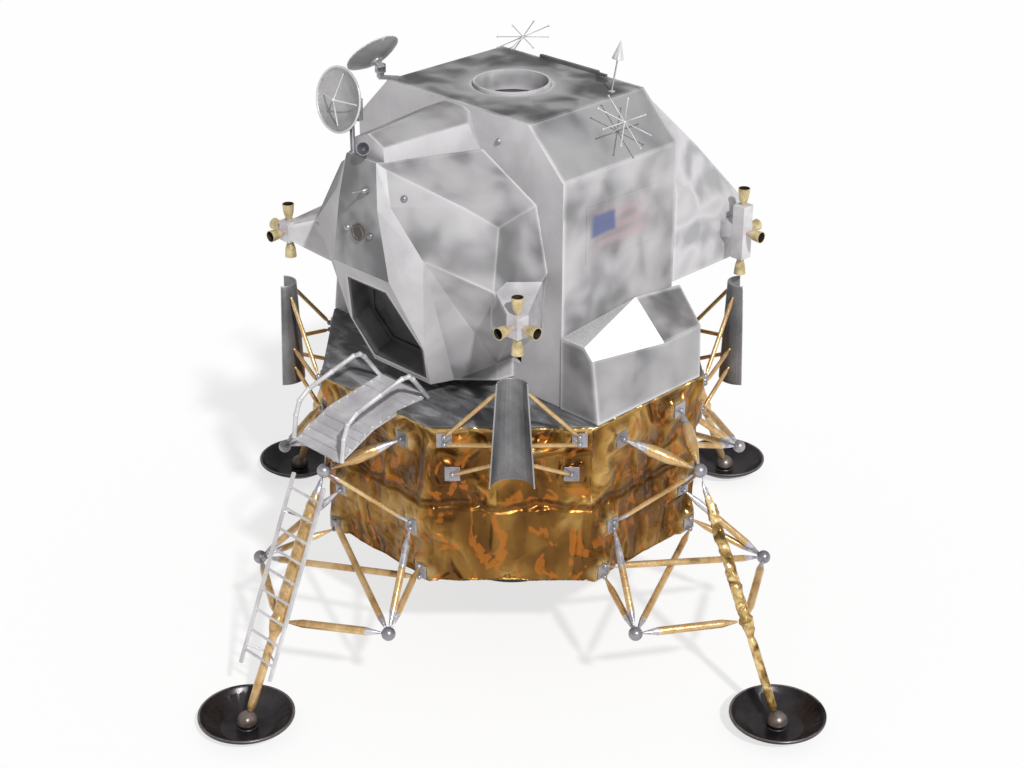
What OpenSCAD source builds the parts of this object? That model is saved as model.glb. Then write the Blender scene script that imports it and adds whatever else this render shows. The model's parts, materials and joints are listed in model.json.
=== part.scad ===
// Two-stage crewed lunar lander standing on its four-legged gear, all sizes in millimetres.
// +Z is up, -Y is the front with the hatch and the ladder, +X is port. The ground is z = 0.

/* [Landing gear] */
// Vehicle axis to the middle of each footpad
gear_radius = 4160; // [3600:10:4700]
// Outside diameter of a footpad's rim
pad_d = 1076; // [800:2:1300]
// Height of a footpad, ground to rim
pad_h = 190; // [120:1:260]
// Thickness of the dished footpad's skin
pad_wall = 14; // [8:1:30]
// Radius of the ball that a footpad turns on
pad_ball_r = 120; // [80:1:160]
// Radius of the upper, wider half of a main strut
strut_upper_r = 88; // [60:1:110]
// Radius of the lower half of a main strut
strut_lower_r = 50; // [35:1:65]
// Share of a main strut that is the wide upper half
strut_upper_share = 0.66; // [0.5:0.01:0.8]
// Height of the joint at the top of a main strut
strut_top_z = 2753; // [2400:1:3100]
// Vehicle axis to the joint at the top of a main strut
strut_top_y = 2895; // [2600:1:3200]
// Half the spacing of a leg's two lower corner joints
corner_x = 1113; // [900:1:1300]
// Vehicle axis to the lower corner joints
corner_y = 3008; // [2700:1:3300]
// Height of the lower corner joints
corner_z = 1214; // [1000:1:1500]
// Radius of a corner joint's ball
joint_ball_r = 78; // [50:1:100]
// Radius of the thickest braces
brace_r = 46; // [30:1:60]
// Radius of the thin tie rods
tie_r = 26; // [15:1:40]

/* [Descent stage] */
// Width of the octagonal body across its flats
stage_w = 4345; // [3800:5:4900]
// Height of the body's underside over the ground
stage_bottom = 1335; // [1100:1:1600]
// Height of the body's top deck over the ground
stage_top = 3355; // [3000:1:3700]
// Thickness of the deck sheet on top of the body
deck_t = 15; // [5:1:40]
// Radius of the engine bay that is open to below
bay_r = 820; // [700:5:950]

/* [Engine] */
// Radius of the nozzle at its open end
bell_exit_r = 720; // [600:5:780]
// Radius of the nozzle at its throat
bell_throat_r = 130; // [90:1:180]
// Height of the nozzle's open end over the ground
bell_exit_z = 470; // [300:5:700]
// Height of the gimbal pivots
gimbal_z = 2330; // [2200:5:2500]
// Largest swing of the engine each way, in degrees
gimbal_swing = 6; // [1:1:8]

/* [Ascent stage] */
// Width of the middle body
mid_w = 3210; // [2800:5:3600]
// Width of the middle body's flat roof
roof_w = 2180; // [1700:5:2600]
// Front of the middle body, measured from the vehicle axis
mid_front = 855; // [700:5:1000]
// Rear of the middle body, measured from the vehicle axis
mid_rear = 948; // [800:5:1100]
// Height of the shoulder where the roof's slopes start
shoulder_z = 5957; // [5600:1:6200]
// Height of the flat roof
roof_z = 6467; // [6200:1:6800]
// Thickness of the pressure walls
wall_t = 60; // [40:1:90]
// Inside radius of the docking tunnel
tunnel_r = 405; // [350:1:450]
// Radial thickness of the docking ring
ring_t = 26; // [15:1:60]
// Height of the docking ring over the roof
ring_h = 40; // [10:1:90]
// Rear face of the equipment bay
bay_rear = 2360; // [2000:5:2700]

/* [Cabin front] */
// Half width of the crew cabin's hatch frame at its top
hatch_top_x = 445; // [380:1:520]
// Thickness of the hatch leaf
hatch_t = 40; // [25:1:60]
// Depth of the recess that the hatch closes
hatch_recess = 260; // [120:5:300]

/* [Porch and ladder] */
// Width of the porch
porch_w = 750; // [600:5:900]
// Number of planks on the porch
planks = 11; // [8:1:14]
// Width between the ladder's rails
ladder_w = 512; // [400:2:600]
// Number of the ladder's rungs
rungs = 9; // [7:1:12]
// Radius of the porch's handrails
handrail_r = 26; // [12:1:34]

/* [Thrusters] */
// Sideways distance from the vehicle axis to each thruster cluster
quad_x = 1835; // [1700:5:2100]
// Distance from the vehicle axis forward to the front thruster clusters
quad_front = 1755; // [1600:5:2100]
// Distance from the vehicle axis back to the rear thruster clusters
quad_aft = 1870; // [1600:5:2100]
// Height of the thruster clusters
quad_z = 4720; // [4400:5:5000]
// Radius of a thruster's mouth
thruster_r = 68; // [45:1:90]

/* [Antennas] */
// Diameter of the forward radar dish
radar_d = 690; // [500:5:800]
// Diameter of the steerable dish on the roof's starboard side
comm_d = 640; // [500:5:800]
// Length of one arm of the eight-armed star antennas
star_arm = 330; // [200:5:420]

/* [Hidden] */

gap = 0.3;
clear = 6;
big = 9000;
legs = [0, 90, 180, 270];
corners = [45, 135, 225, 315];
half_flat = stage_w / 2;
octagon_r = half_flat / cos(22.5);

foil = [0.80, 0.58, 0.22];
skin = [0.62, 0.61, 0.62];
dark = [0.20, 0.20, 0.21];
pale = [0.86, 0.85, 0.86];
tan_tube = [0.82, 0.63, 0.38];
bell_tan = [0.80, 0.70, 0.48];

// ---------- vector helpers ----------
function unit(v) = v / norm(v);
function flip(p) = [-p[0], p[1], p[2]];
function mix(a, b, t) = a + (b - a) * t;

// Turns +Z to lie along v and moves the origin to p
module along(p, v) {
    translate(p)
        rotate([0, acos(v[2] / norm(v)), atan2(v[1], v[0])])
            children();
}

// A rod whose ends narrow over end_len, from p to q less what its joints take at each end
module strut(p, q, r, trim_p = 0, trim_q = 0, end_r = 12, end_len = 180) {
    len = norm(q - p) - trim_p - trim_q;
    along(p + unit(q - p) * trim_p, q - p)
        rotate_extrude($fn = 24)
            polygon([[0, 0], [end_r, 0], [r, end_len], [r, len - end_len], [end_r, len], [0, len]]);
}

module rod(p, q, r) {
    along(p, q - p) cylinder(h = norm(q - p), r = r, $fn = 24);
}

// Cuts away everything beyond the plane through a, b and c, moved out by grow.
// The side that holds the point inside is kept.
module beyond(a, b, c, inside, grow = 0) {
    n = unit(cross(b - a, c - a));
    out = n * (a - inside) > 0 ? n : -n;
    along(a + out * grow, out) translate([-big, -big, 0]) cube([2 * big, 2 * big, big]);
}

// A flat-faced body: the block less all that lies beyond each plane of the list.
// With both set, each plane cuts on the starboard side as well.
module faceted(planes, inside, grow = 0, both = true) {
    difference() {
        children();
        for (p = planes) {
            beyond(p[0], p[1], p[2], inside, grow);
            if (both) beyond(flip(p[0]), flip(p[1]), flip(p[2]), flip(inside), grow);
        }
    }
}

// ---------- descent stage ----------
module octagon(h, r = octagon_r) {
    rotate([0, 0, 22.5]) cylinder(h = h, r = r, $fn = 8);
}

bay_top = gimbal_z + 620;

module descent_stage() {
    color(foil)
        difference() {
            translate([0, 0, stage_bottom]) octagon(stage_top - deck_t - gap - stage_bottom);
            translate([0, 0, stage_bottom - 1]) cylinder(h = bay_top - stage_bottom + 1, r = bay_r);
            porch_notch();
        }
}

module stage_deck() {
    color(skin * 0.7)
        difference() {
            translate([0, 0, stage_top - deck_t]) octagon(deck_t, octagon_r - 20);
            porch_notch();
        }
}

// The step in the deck's front edge that the porch is set into
module porch_notch() {
    translate([-porch_w / 2 - 3, -half_flat - 30, porch_seat]) cube([porch_w + 6, porch_overlap + 40, 400]);
}

// ---------- engine ----------
ring_in = 300;
ring_out = 360;
ring_half = 35;
pin_r = 30;
chamber_r = 200;
bell_len = gimbal_z - 100 - bell_exit_z;
bell_wall = 14;
bell_steps = 10;
// The nozzle opens fast below its throat and then straightens
function bell_at(t) = bell_throat_r + (bell_exit_r - bell_throat_r) * pow(t, 0.72);

module engine_block() {
    color(dark) {
        translate([0, 0, gimbal_z - 60]) cylinder(h = 560, r = chamber_r);
        for (s = [-1, 1])
            rod([0, s * (chamber_r - 10), gimbal_z], [0, s * (ring_in + 30), gimbal_z], pin_r);
    }
}

module engine_nozzle() {
    outer = [for (i = [0 : bell_steps]) [bell_at(i / bell_steps), -bell_len * i / bell_steps]];
    inner = [for (i = [bell_steps : -1 : 0]) [bell_at(i / bell_steps) - bell_wall, -bell_len * i / bell_steps]];
    color(dark) {
        translate([0, 0, gimbal_z - 100]) {
            rotate_extrude($fn = 48) polygon(concat(outer, inner));
            cylinder(h = 40, r = bell_throat_r);
        }
    }
}

module gimbal_ring() {
    color(skin)
        difference() {
            union() {
                translate([0, 0, gimbal_z - ring_half]) cylinder(h = 2 * ring_half, r = ring_out);
                for (s = [-1, 1])
                    rod([s * (ring_out - 10), 0, gimbal_z], [s * (ring_out + 70), 0, gimbal_z], pin_r);
            }
            translate([0, 0, gimbal_z - ring_half - 1]) cylinder(h = 2 * ring_half + 2, r = ring_in);
            rod([0, -ring_out - 5, gimbal_z], [0, ring_out + 5, gimbal_z], pin_r + gap);
        }
}

module gimbal_pivots() {
    color(skin * 0.7)
        for (s = [-1, 1])
            difference() {
                intersection() {
                    translate([s > 0 ? ring_out + 20 : -bay_r, -60, gimbal_z - 60])
                        cube([bay_r - ring_out - 20, 120, 120]);
                    translate([0, 0, gimbal_z - 100]) cylinder(h = 200, r = bay_r - gap);
                }
                rod([s * ring_out, 0, gimbal_z], [s * (ring_out + 76), 0, gimbal_z], pin_r + gap);
            }
}

// ---------- landing gear ----------
strut_top = [0, -strut_top_y, strut_top_z];
strut_foot = [0, -gear_radius, pad_wall + 60];
strut_dir = unit(strut_foot - strut_top);
strut_len = norm(strut_foot - strut_top);
knee_share = 0.595;
knee = mix(strut_top, strut_foot, knee_share);
knee_r = 104;
corner_pt = [corner_x, -corner_y, corner_z];

plate = 165;
plate_t = 14;
boss_r = 30;
boss_out = boss_r + 1;
// Where the braces meet the body on a leg's face: [x, z]
upper_at = [480, 3060];
middle_at = [600, 2020];
lower_at = [735, 1480];
// The two braces that cross in front of the body pass each other by this rise
cross_rise = 142;

function on_face(x, z) = [x, -half_flat - boss_out, z];

module fitting(x, z, rises = [0]) {
    translate([x - plate / 2, -half_flat - plate_t - gap, z - plate / 2]) cube([plate, plate_t, plate]);
    for (r = rises) translate(on_face(x, z + r)) sphere(r = boss_r, $fn = 20);
}

// Where the deflector struts meet a corner face, in the face's own frame: [x, z]
deflector_upper_at = [727, 3201];
deflector_lower_at = [645, 2789];

module strut_fittings() {
    color(skin) {
        for (a = legs) rotate([0, 0, a])
            for (s = [-1, 1]) {
                fitting(s * upper_at[0], upper_at[1]);
                fitting(s * middle_at[0], middle_at[1], [-40, 40]);
                fitting(s * lower_at[0], lower_at[1], [-cross_rise / 2, cross_rise / 2]);
            }
        for (a = corners) rotate([0, 0, a])
            for (s = [-1, 1]) {
                fitting(s * deflector_upper_at[0], deflector_upper_at[1], [-45, 45]);
                fitting(s * deflector_lower_at[0], deflector_lower_at[1]);
            }
    }
}

module main_strut() {
    top_trim = joint_ball_r + gap;
    upper = strut_len * strut_upper_share - top_trim;
    lower = strut_len - top_trim - pad_ball_r - gap;
    along(strut_top + strut_dir * top_trim, strut_dir) {
        rotate_extrude($fn = 32)
            polygon([[0, 0], [22, 0], [strut_upper_r, 330], [strut_upper_r, upper - 110],
                     [strut_lower_r, upper], [strut_lower_r, lower - 60], [30, lower], [0, lower]]);
        translate([0, 0, strut_len * knee_share - top_trim]) sphere(r = knee_r, $fn = 28);
    }
}

module gear_struts() {
    color(tan_tube) for (a = legs) rotate([0, 0, a]) main_strut();
}

module leg_braces() {
    ball = joint_ball_r + gap;
    boss = boss_r + gap;
    for (s = [-1, 1]) {
        c = [s * corner_x, -corner_y, corner_z];
        strut(strut_top, on_face(s * upper_at[0], upper_at[1]), brace_r + 26, ball, boss, 14, 300);
        strut(strut_top, on_face(s * middle_at[0], middle_at[1] + 40), tie_r, ball, boss, 10, 120);
        strut(c, on_face(s * middle_at[0], middle_at[1] - 40), brace_r - 6, ball, boss);
        strut(c, on_face(s * lower_at[0], lower_at[1] + s * cross_rise / 2), brace_r - 8, ball, boss);
        strut(c, on_face(-s * lower_at[0], lower_at[1] + s * cross_rise / 2), brace_r - 8, ball, boss);
        strut(c, knee, brace_r, ball, knee_r + gap);
    }
}

module gear_braces() {
    color(tan_tube) for (a = legs) rotate([0, 0, a]) leg_braces();
}

module gear_balls() {
    color(skin)
        for (a = legs) rotate([0, 0, a]) {
            translate(strut_top) sphere(r = joint_ball_r, $fn = 28);
            for (s = [-1, 1]) translate([s * corner_x, -corner_y, corner_z]) sphere(r = joint_ball_r, $fn = 28);
        }
}

pad_floor_r = pad_d * 0.28;

module footpad() {
    rim = pad_d / 2;
    translate([0, -gear_radius, 0]) {
        rotate_extrude($fn = 64)
            polygon([[0, 0], [pad_floor_r, 0], [rim - 70, pad_h * 0.55], [rim, pad_h - 30], [rim, pad_h],
                     [rim - 22, pad_h], [rim - 80, pad_h * 0.55 + pad_wall], [pad_floor_r - 4, pad_wall],
                     [0, pad_wall]]);
        difference() {
            translate([0, 0, pad_wall + 60]) sphere(r = pad_ball_r, $fn = 32);
            translate([-pad_d, -pad_d, pad_wall - pad_d]) cube([2 * pad_d, 2 * pad_d, pad_d - 1]);
        }
    }
}

module footpads() {
    color(dark) for (a = legs) rotate([0, 0, a]) footpad();
}

// ---------- porch, handrails and ladder ----------
plank_t = 22;
plank_gap = 4;
beam_t = 26;
porch_overlap = 470;
porch_back = [0, -half_flat + porch_overlap, stage_top + 32 - plank_t];
porch_knee = [0, -half_flat - 308, stage_top - 93 - plank_t];
porch_front = [0, -half_flat - 796, stage_top - 323 - plank_t];
// Height at which the porch's beams rest on the edge of their step
porch_seat = mix(porch_back, porch_knee, porch_overlap / (porch_overlap + 308))[2] - beam_t * 1.02;
back_planks = ceil(planks / 2);
front_planks = planks - back_planks;

module planks(from, to, count) {
    run = norm(to - from);
    step = run / count;
    tilt = atan2(to[2] - from[2], -(to[1] - from[1]));
    translate(from) rotate([-tilt, 0, 0]) {
        for (i = [0 : count - 1])
            translate([-porch_w / 2, -(i + 1) * step + plank_gap / 2, 0]) cube([porch_w, step - plank_gap, plank_t]);
        for (x = [-porch_w * 0.36, porch_w * 0.36 - 40])
            translate([x, -run, -beam_t]) cube([40, run, beam_t + 1]);
    }
}

module porch() {
    color(pale) {
        planks(porch_back, porch_knee, back_planks);
        planks(porch_knee, porch_front, front_planks);
    }
}

rail_x = porch_w / 2 + handrail_r + gap;
// The handrail's path from the porch's front edge up and back to the stage
rail_path = [[-2965, 3040], [-2925, 3300], [-2865, 3455], [-2740, 3545], [-2400, 3640],
             [-2080, 3722], [-1985, 3715], [-1925, 3665], [-1710, stage_top + handrail_r * 0.58 + gap]];

module handrails() {
    color(pale)
        for (s = [-1, 1])
            union()
                for (i = [0 : len(rail_path) - 2]) {
                    a = [s * rail_x, rail_path[i][0], rail_path[i][1]];
                    b = [s * rail_x, rail_path[i + 1][0], rail_path[i + 1][1]];
                    rod(a, b, handrail_r);
                    if (i > 0) translate(a) sphere(r = handrail_r * 1.2, $fn = 24);
                }
}

ladder_top = [0, -3107, 2715];
ladder_foot = [0, -4002, 655];
ladder_rail = 34;
// Where the ladder's ties run to the strut: [share up the ladder, share down the strut]
ladder_ties = [[0.1, 0.72], [0.8, 0.19]];

module ladder() {
    run = norm(ladder_foot - ladder_top);
    step = run / (rungs + 0.4);
    lean = atan2(ladder_top[1] - ladder_foot[1], ladder_top[2] - ladder_foot[2]);
    color(pale)
        difference() {
            union() {
                translate(ladder_foot) rotate([-lean, 0, 0]) {
                    for (s = [-1, 1])
                        translate([s * ladder_w / 2 - ladder_rail / 2, -ladder_rail / 2, 0])
                            cube([ladder_rail, ladder_rail, run]);
                    for (i = [0 : rungs - 1])
                        rod([-ladder_w / 2, 0, (i + 0.7) * step], [ladder_w / 2, 0, (i + 0.7) * step], 15);
                }
                for (s = [-1, 1], t = ladder_ties)
                    rod(mix(ladder_foot, ladder_top, t[0]) + [s * (ladder_w / 2 - 8), 0, 0],
                        mix(strut_top, strut_foot, t[1]), 11);
            }
            along(strut_top, strut_dir) {
                cylinder(h = strut_len * strut_upper_share, r = strut_upper_r + gap, $fn = 32);
                cylinder(h = strut_len, r = strut_lower_r + gap, $fn = 32);
            }
        }
}

// ---------- plume deflectors ----------
deflector_top_r = 165;
deflector_foot_r = 245;
deflector_t = 14;
deflector_top = [0, -2650, 4110];
deflector_foot = [0, -2686, 2888];

// Half a cone, open to the outside
module plume_deflector() {
    len = norm(deflector_top - deflector_foot);
    lean = atan2(deflector_top[1] - deflector_foot[1], deflector_top[2] - deflector_foot[2]);
    translate(deflector_foot) rotate([-lean, 0, 0])
        difference() {
            cylinder(h = len, r1 = deflector_foot_r, r2 = deflector_top_r, $fn = 48);
            translate([0, 0, -1])
                cylinder(h = len + 2, r1 = deflector_foot_r - deflector_t, r2 = deflector_top_r - deflector_t, $fn = 48);
            translate([-1000, -2000, -10]) cube([2000, 2000, len + 20]);
        }
}

module plume_deflectors() {
    color(skin * 0.7) for (a = corners) rotate([0, 0, a]) plume_deflector();
}

hook_r = 16;

// The middle of a strut's ball foot against the deflector's back, on side s and at height share h
function deflector_hook(s, h) =
    let (d = deflector_top - deflector_foot,
         lean = atan2(d[1], d[2]),
         r = mix(deflector_foot_r, deflector_top_r, h) + hook_r + 0.4,
         y = r * sin(38.7),
         z = norm(d) * h)
    deflector_foot + [s * r * cos(38.7), y * cos(lean) + z * sin(lean), z * cos(lean) - y * sin(lean)];

module deflector_strut(x, z, s, h) {
    hook = deflector_hook(s, h);
    strut(on_face(s * x, z), hook, tie_r - 2, boss_r + gap, 0, 10, 80);
    translate(hook) sphere(r = hook_r, $fn = 20);
}

module deflector_struts() {
    color(tan_tube)
        for (a = corners) rotate([0, 0, a])
            for (s = [-1, 1]) {
                deflector_strut(deflector_upper_at[0], deflector_upper_at[1] + 45, s, 0.88);
                deflector_strut(deflector_upper_at[0], deflector_upper_at[1] - 45, s, 0.36);
                deflector_strut(deflector_lower_at[0], deflector_lower_at[1], s, 0.17);
            }
}

// ---------- ascent stage: middle body ----------
mid_x = mid_w / 2;
roof_x = roof_w / 2;
slope_in = wall_t * 0.42;
mid_profile = [[mid_x, stage_top + gap], [mid_x, shoulder_z], [roof_x, roof_z],
               [-roof_x, roof_z], [-mid_x, shoulder_z], [-mid_x, stage_top + gap]];
mid_inner = [[mid_x - wall_t, stage_top + wall_t], [mid_x - wall_t, shoulder_z - slope_in],
             [roof_x - slope_in, roof_z - wall_t], [slope_in - roof_x, roof_z - wall_t],
             [wall_t - mid_x, shoulder_z - slope_in], [wall_t - mid_x, stage_top + wall_t]];
doorway_w = 2000;
doorway_z = [3700, 5650];
tunnel_depth = 190;
tunnel_out = tunnel_r + ring_t;

// Stands a profile drawn in x and z up between two distances from the axis
module slab(profile, y0, y1) {
    translate([0, y1, 0]) rotate([90, 0, 0]) linear_extrude(height = y1 - y0) polygon(profile);
}

module mid_section() {
    color(skin)
        difference() {
            slab(mid_profile, -mid_front, mid_rear);
            slab(mid_inner, -mid_front + wall_t, mid_rear - wall_t);
            translate([-doorway_w / 2, -mid_front - 1, doorway_z[0]])
                cube([doorway_w, wall_t + 2, doorway_z[1] - doorway_z[0]]);
            translate([0, 0, roof_z - wall_t - 1]) cylinder(h = wall_t + 2, r = tunnel_out);
        }
}

// The lid under the tunnel swings down on a pin that two ears on the tunnel hold
lid_t = 36;
lid_r = tunnel_out;
lid_z = roof_z - tunnel_depth - clear - lid_t;
lid_pin_r = 10;
lid_pin = [-lid_r - 30, 0, lid_z + lid_t / 2];
lid_ear_y = 78;
lid_ear_t = 14;

module lid_pin_rod(half, r) {
    rod(lid_pin - [0, half, 0], lid_pin + [0, half, 0], r);
}

module docking_ring() {
    ear_foot = lid_z + lid_t / 2 - 16;
    ear_reach = -tunnel_out * 0.9 - lid_pin[0] + 16;
    color(skin) {
        difference() {
            union() {
                translate([0, 0, roof_z - tunnel_depth]) cylinder(h = tunnel_depth + ring_h, r = tunnel_out);
                for (s = [-1, 1])
                    translate([lid_pin[0] - 16, s * lid_ear_y - lid_ear_t / 2, roof_z - tunnel_depth])
                        cube([ear_reach, lid_ear_t, 60]);
            }
            translate([0, 0, roof_z - tunnel_depth - 1]) cylinder(h = tunnel_depth + ring_h + 2, r = tunnel_r);
        }
        for (s = [-1, 1])
            translate([lid_pin[0] - 16, s * lid_ear_y - lid_ear_t / 2, ear_foot])
                cube([32, lid_ear_t, roof_z - tunnel_depth - ear_foot + 1]);
        lid_pin_rod(lid_ear_y + lid_ear_t / 2, lid_pin_r);
    }
}

module overhead_hatch() {
    knuckle = lid_ear_y - lid_ear_t / 2 - clear;
    color(dark)
        difference() {
            union() {
                translate([0, 0, lid_z]) cylinder(h = lid_t, r = lid_r - 3);
                translate([lid_pin[0], -knuckle, lid_z]) cube([lid_r * 0.3, 2 * knuckle, lid_t]);
                lid_pin_rod(knuckle, lid_t / 2);
            }
            lid_pin_rod(knuckle + 1, lid_pin_r + gap);
        }
}

// ---------- ascent stage: crew cabin ----------
// Corner points of the cabin's port half, which its starboard half mirrors
cabin_foot = 3500;
col_top = [230, -2200, 6174];
col_mid = [300, -2266, 5694];
col_low = [hatch_top_x, -2264, 4926];
sill = [460, -1720, 3550];
cabin_corners = [
    col_top, col_mid, col_low, sill,
    [490, -1395, cabin_foot],       // 4 keel
    [290, -2115, 6098],             // 5 brow
    [420, -2190, 5740],             // 6 edge of the upper facet
    [970, -1665, 5743],             // 7 middle of the brow
    [850, -2140, 5250],             // 8 cheek
    [1255, -1445, 5540],            // 9 temple
    [1430, -1700, 4940],            // 10 jaw
    [1550, -1500, 4600],            // 11 under the jaw
    [1221, -mid_front, 5620],       // 12 to 14 side, where it meets the middle body
    [1390, -mid_front, 4896],
    [1278, -mid_front, 4192],
    [830, -1065, 3700],             // 15 hem
    [830, -1065, cabin_foot],
    [880, -mid_front, cabin_foot],
    [880, -mid_front, 3730],
    [430, -mid_front, 6030],        // 19 crown
    [600, -1937, 4100]              // 20 widest point of the hatch face
];
n_half = len(cabin_corners);
port_faces = [
    [0, 1, 6], [0, 6, 5], [1, 2, 8], [1, 8, 6], [2, 20, 8], [20, 4, 8], [20, 3, 4],
    [5, 6, 7], [6, 8, 7], [5, 7, 19], [7, 9, 12], [7, 12, 19], [0, 5, 19],
    [7, 8, 10], [7, 10, 9], [9, 10, 13], [9, 13, 12], [10, 11, 13], [11, 14, 13],
    [8, 4, 15], [8, 15, 10], [10, 15, 11], [11, 15, 18], [11, 18, 14],
    [4, 16, 15], [15, 16, 17, 18]
];
// Outlines that cross the middle plane, given by their port half from top to bottom
middle_faces = [[0, 1], [1, 2], [3, 4], [2, 20, 3], [19, 0]];
function turned(f) = [for (i = [len(f) - 1 : -1 : 0]) f[i]];
function starboard(f) = [for (i = f) i + n_half];
cabin_back = [17, 18, 14, 13, 12, 19];
cabin_under = [4, 16, 17];
cabin_faces = concat(
    [for (f = port_faces) turned(f)],
    [for (f = port_faces) starboard(f)],
    [for (f = middle_faces) concat(f, turned(starboard(f)))],
    [concat(turned(starboard(cabin_back)), cabin_back)],
    [concat(turned(starboard(cabin_under)), cabin_under)]
);

// The cabin's outer shape, or with thin set that shape drawn in to leave a wall
module cabin_shape(thin = 0) {
    middle = [0, 20 - mid_front, 4800];
    half = [for (p = cabin_corners) mix(p, middle, thin / 1000)];
    polyhedron(concat(half, [for (p = half) flip(p)]), cabin_faces, convexity = 4);
}

// The cabin's top slopes up to the front
crown = cabin_corners[19];
top_dir = unit([0, col_top[2] - crown[2], crown[1] - col_top[1]]);
function on_top(x, y) =
    [x, y, mix(col_top, crown, (y - col_top[1]) / (crown[1] - col_top[1]))[2] + gap];

module cabin() {
    color(skin)
        difference() {
            cabin_shape();
            cabin_shape(wall_t);
            on_hatch_face() outline_plate(0, -wall_t - hatch_recess, 200);
        }
}

// The hatch face leans back at its foot. In its own frame x runs to port,
// y runs up the face from the sill and z runs out of it.
face_lean = atan2(sill[1] - col_low[1], col_low[2] - sill[2]);
hatch_outline = [[310, 1290], [575, 560], [430, 75], [-430, 75], [-575, 560], [-310, 1290]];
frame_wall = 28;
leaf_back = -hatch_recess - clear;
lip = 110;
lip_t = 20;
leaf_in = 70;
hinge_x = leaf_in - 608;
hinge_y = 560;
hinge_pin_r = 9;
hinge_ear_y = [440, 680];

module on_hatch_face() {
    translate([0, sill[1], sill[2]]) rotate([90 + face_lean, 0, 0]) children();
}

// The outline with each corner moved out by grow, across and along the face
function grown(grow) = [for (p = hatch_outline)
    [p[0] + grow * sign(p[0]), p[1] + grow * (p[1] > 700 ? 1 : p[1] < 300 ? -1 : 0)]];

module outline_plate(grow, from, to) {
    translate([0, 0, from]) linear_extrude(height = to - from) polygon(grown(grow));
}

module hinge_rod(half, r) {
    rod([hinge_x, hinge_y - half, leaf_back - hatch_t / 2], [hinge_x, hinge_y + half, leaf_back - hatch_t / 2], r);
}

module hatch_frame() {
    ear = 20;
    color(pale * 0.9)
        on_hatch_face() {
            difference() {
                union() {
                    outline_plate(-gap, -hatch_recess, -4);
                }
                outline_plate(-frame_wall, lip_t - hatch_recess, 1);
                outline_plate(-lip, -hatch_recess - 1, 1);
            }
            for (y = hinge_ear_y)
                translate([hinge_x - 14, y - ear / 2, leaf_back - hatch_t / 2 - 14])
                    cube([28, ear, 14 + hatch_t / 2 + clear + 4]);
            hinge_rod((hinge_ear_y[1] - hinge_ear_y[0] + ear) / 2, hinge_pin_r);
        }
}

module forward_hatch() {
    knuckle = 80;
    color(dark)
        on_hatch_face()
            difference() {
                union() {
                    outline_plate(-leaf_in, leaf_back - hatch_t, leaf_back);
                    translate([hinge_x, hinge_y - knuckle, leaf_back - hatch_t]) cube([120, 2 * knuckle, hatch_t]);
                    hinge_rod(knuckle, hatch_t / 2);
                }
                hinge_rod(knuckle + 1, hinge_pin_r + gap);
            }
}

// The raised box over the cabin's roof has a ridge along its middle
box_front = col_top[1] + 96;
box_side = [240, box_front, 6310];
box_ridge = [0, box_front, 6410];
box_rear = [360, -mid_front - 155, 6345];
box_end = [220, -mid_front, 6420];

module cabin_roof_box() {
    color(skin)
        faceted([[box_side, box_ridge, box_rear],
                 [box_side, box_rear, box_rear + [20, 0, -245]],
                 [box_rear, box_end, [323, -mid_front, 6169]]],
                [0, -1500, 6200])
            difference() {
                translate([-500, box_front, 5950]) cube([1000, -box_front - mid_front, 500]);
                cabin_shape();
            }
}

// ---------- tank covers, rear bay, roof box and side panel ----------
tank_front = 870;
tank_in_y = 1081;
tank_top = 4209;
tank_x = half_flat;
tank_corners = [
    [mid_x, -tank_front, stage_top + gap],
    [tank_x, -tank_front, stage_top + gap],
    [tank_x - 104, -tank_front, 4085],  // 2 edge of the front
    [tank_x - 223, -tank_front, tank_top],
    [mid_x, -tank_front, tank_top],
    [mid_x, 337, tank_top + 112],       // 5 ridge
    [mid_x, tank_in_y, tank_top + 26],
    [tank_x, 175, 3990],                // 7 and 8 top of the outer wall
    [tank_x, 791, 4004],
    [tank_x, 820, stage_top + gap],
    [mid_x, tank_in_y, stage_top + gap]
];
tank_faces = [[4, 3, 2, 1, 0], [4, 5, 3], [3, 7, 2], [3, 5, 7], [2, 7, 1], [7, 8, 9, 1],
              [5, 8, 7], [5, 6, 8], [6, 10, 9, 8], [0, 10, 6, 5, 4], [1, 9, 10, 0]];

module tank_cover() {
    color(skin) polyhedron(tank_corners, tank_faces, convexity = 2);
}

module port_tank_cover() {
    tank_cover();
}

module starboard_tank_cover() {
    mirror([1, 0, 0]) tank_cover();
}

bay_foot = 4300;
bay_side_z = 5385;
bay_side_aft = [mid_x, bay_rear - 240, 4890];
bay_ridge = [1360, 1580, 5700];
bay_ridge_aft = [1470, 2190, 4980];

module aft_bay() {
    color(skin)
        faceted([[[mid_x, mid_rear, bay_side_z], bay_side_aft, bay_ridge],
                 [[roof_x, mid_rear, roof_z - 110], bay_ridge, flip(bay_ridge)],
                 [bay_ridge, bay_ridge_aft, flip(bay_ridge_aft)],
                 [bay_side_aft, bay_side_aft - [0, 0, 100], [mid_x - 125, bay_rear, bay_foot]]],
                [0, 1300, 4800])
            translate([-mid_x, mid_rear, bay_foot]) cube([mid_w, bay_rear - mid_rear, 2200]);
}

module roof_box() {
    color(skin) translate([-460, mid_rear - 44, roof_z]) cube([900, 40, 42]);
    color(dark) translate([442, mid_rear - 44, roof_z]) cube([120, 36, 26]);
}

module flag_panel() {
    color([0.75, 0.66, 0.68]) translate([mid_x, -500, 4945]) cube([4, 1110, 640]);
}

// ---------- thruster clusters ----------
thruster_len = 200;
hub_half = 80;
front_reach = 120;
aft_reach = 320;

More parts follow.
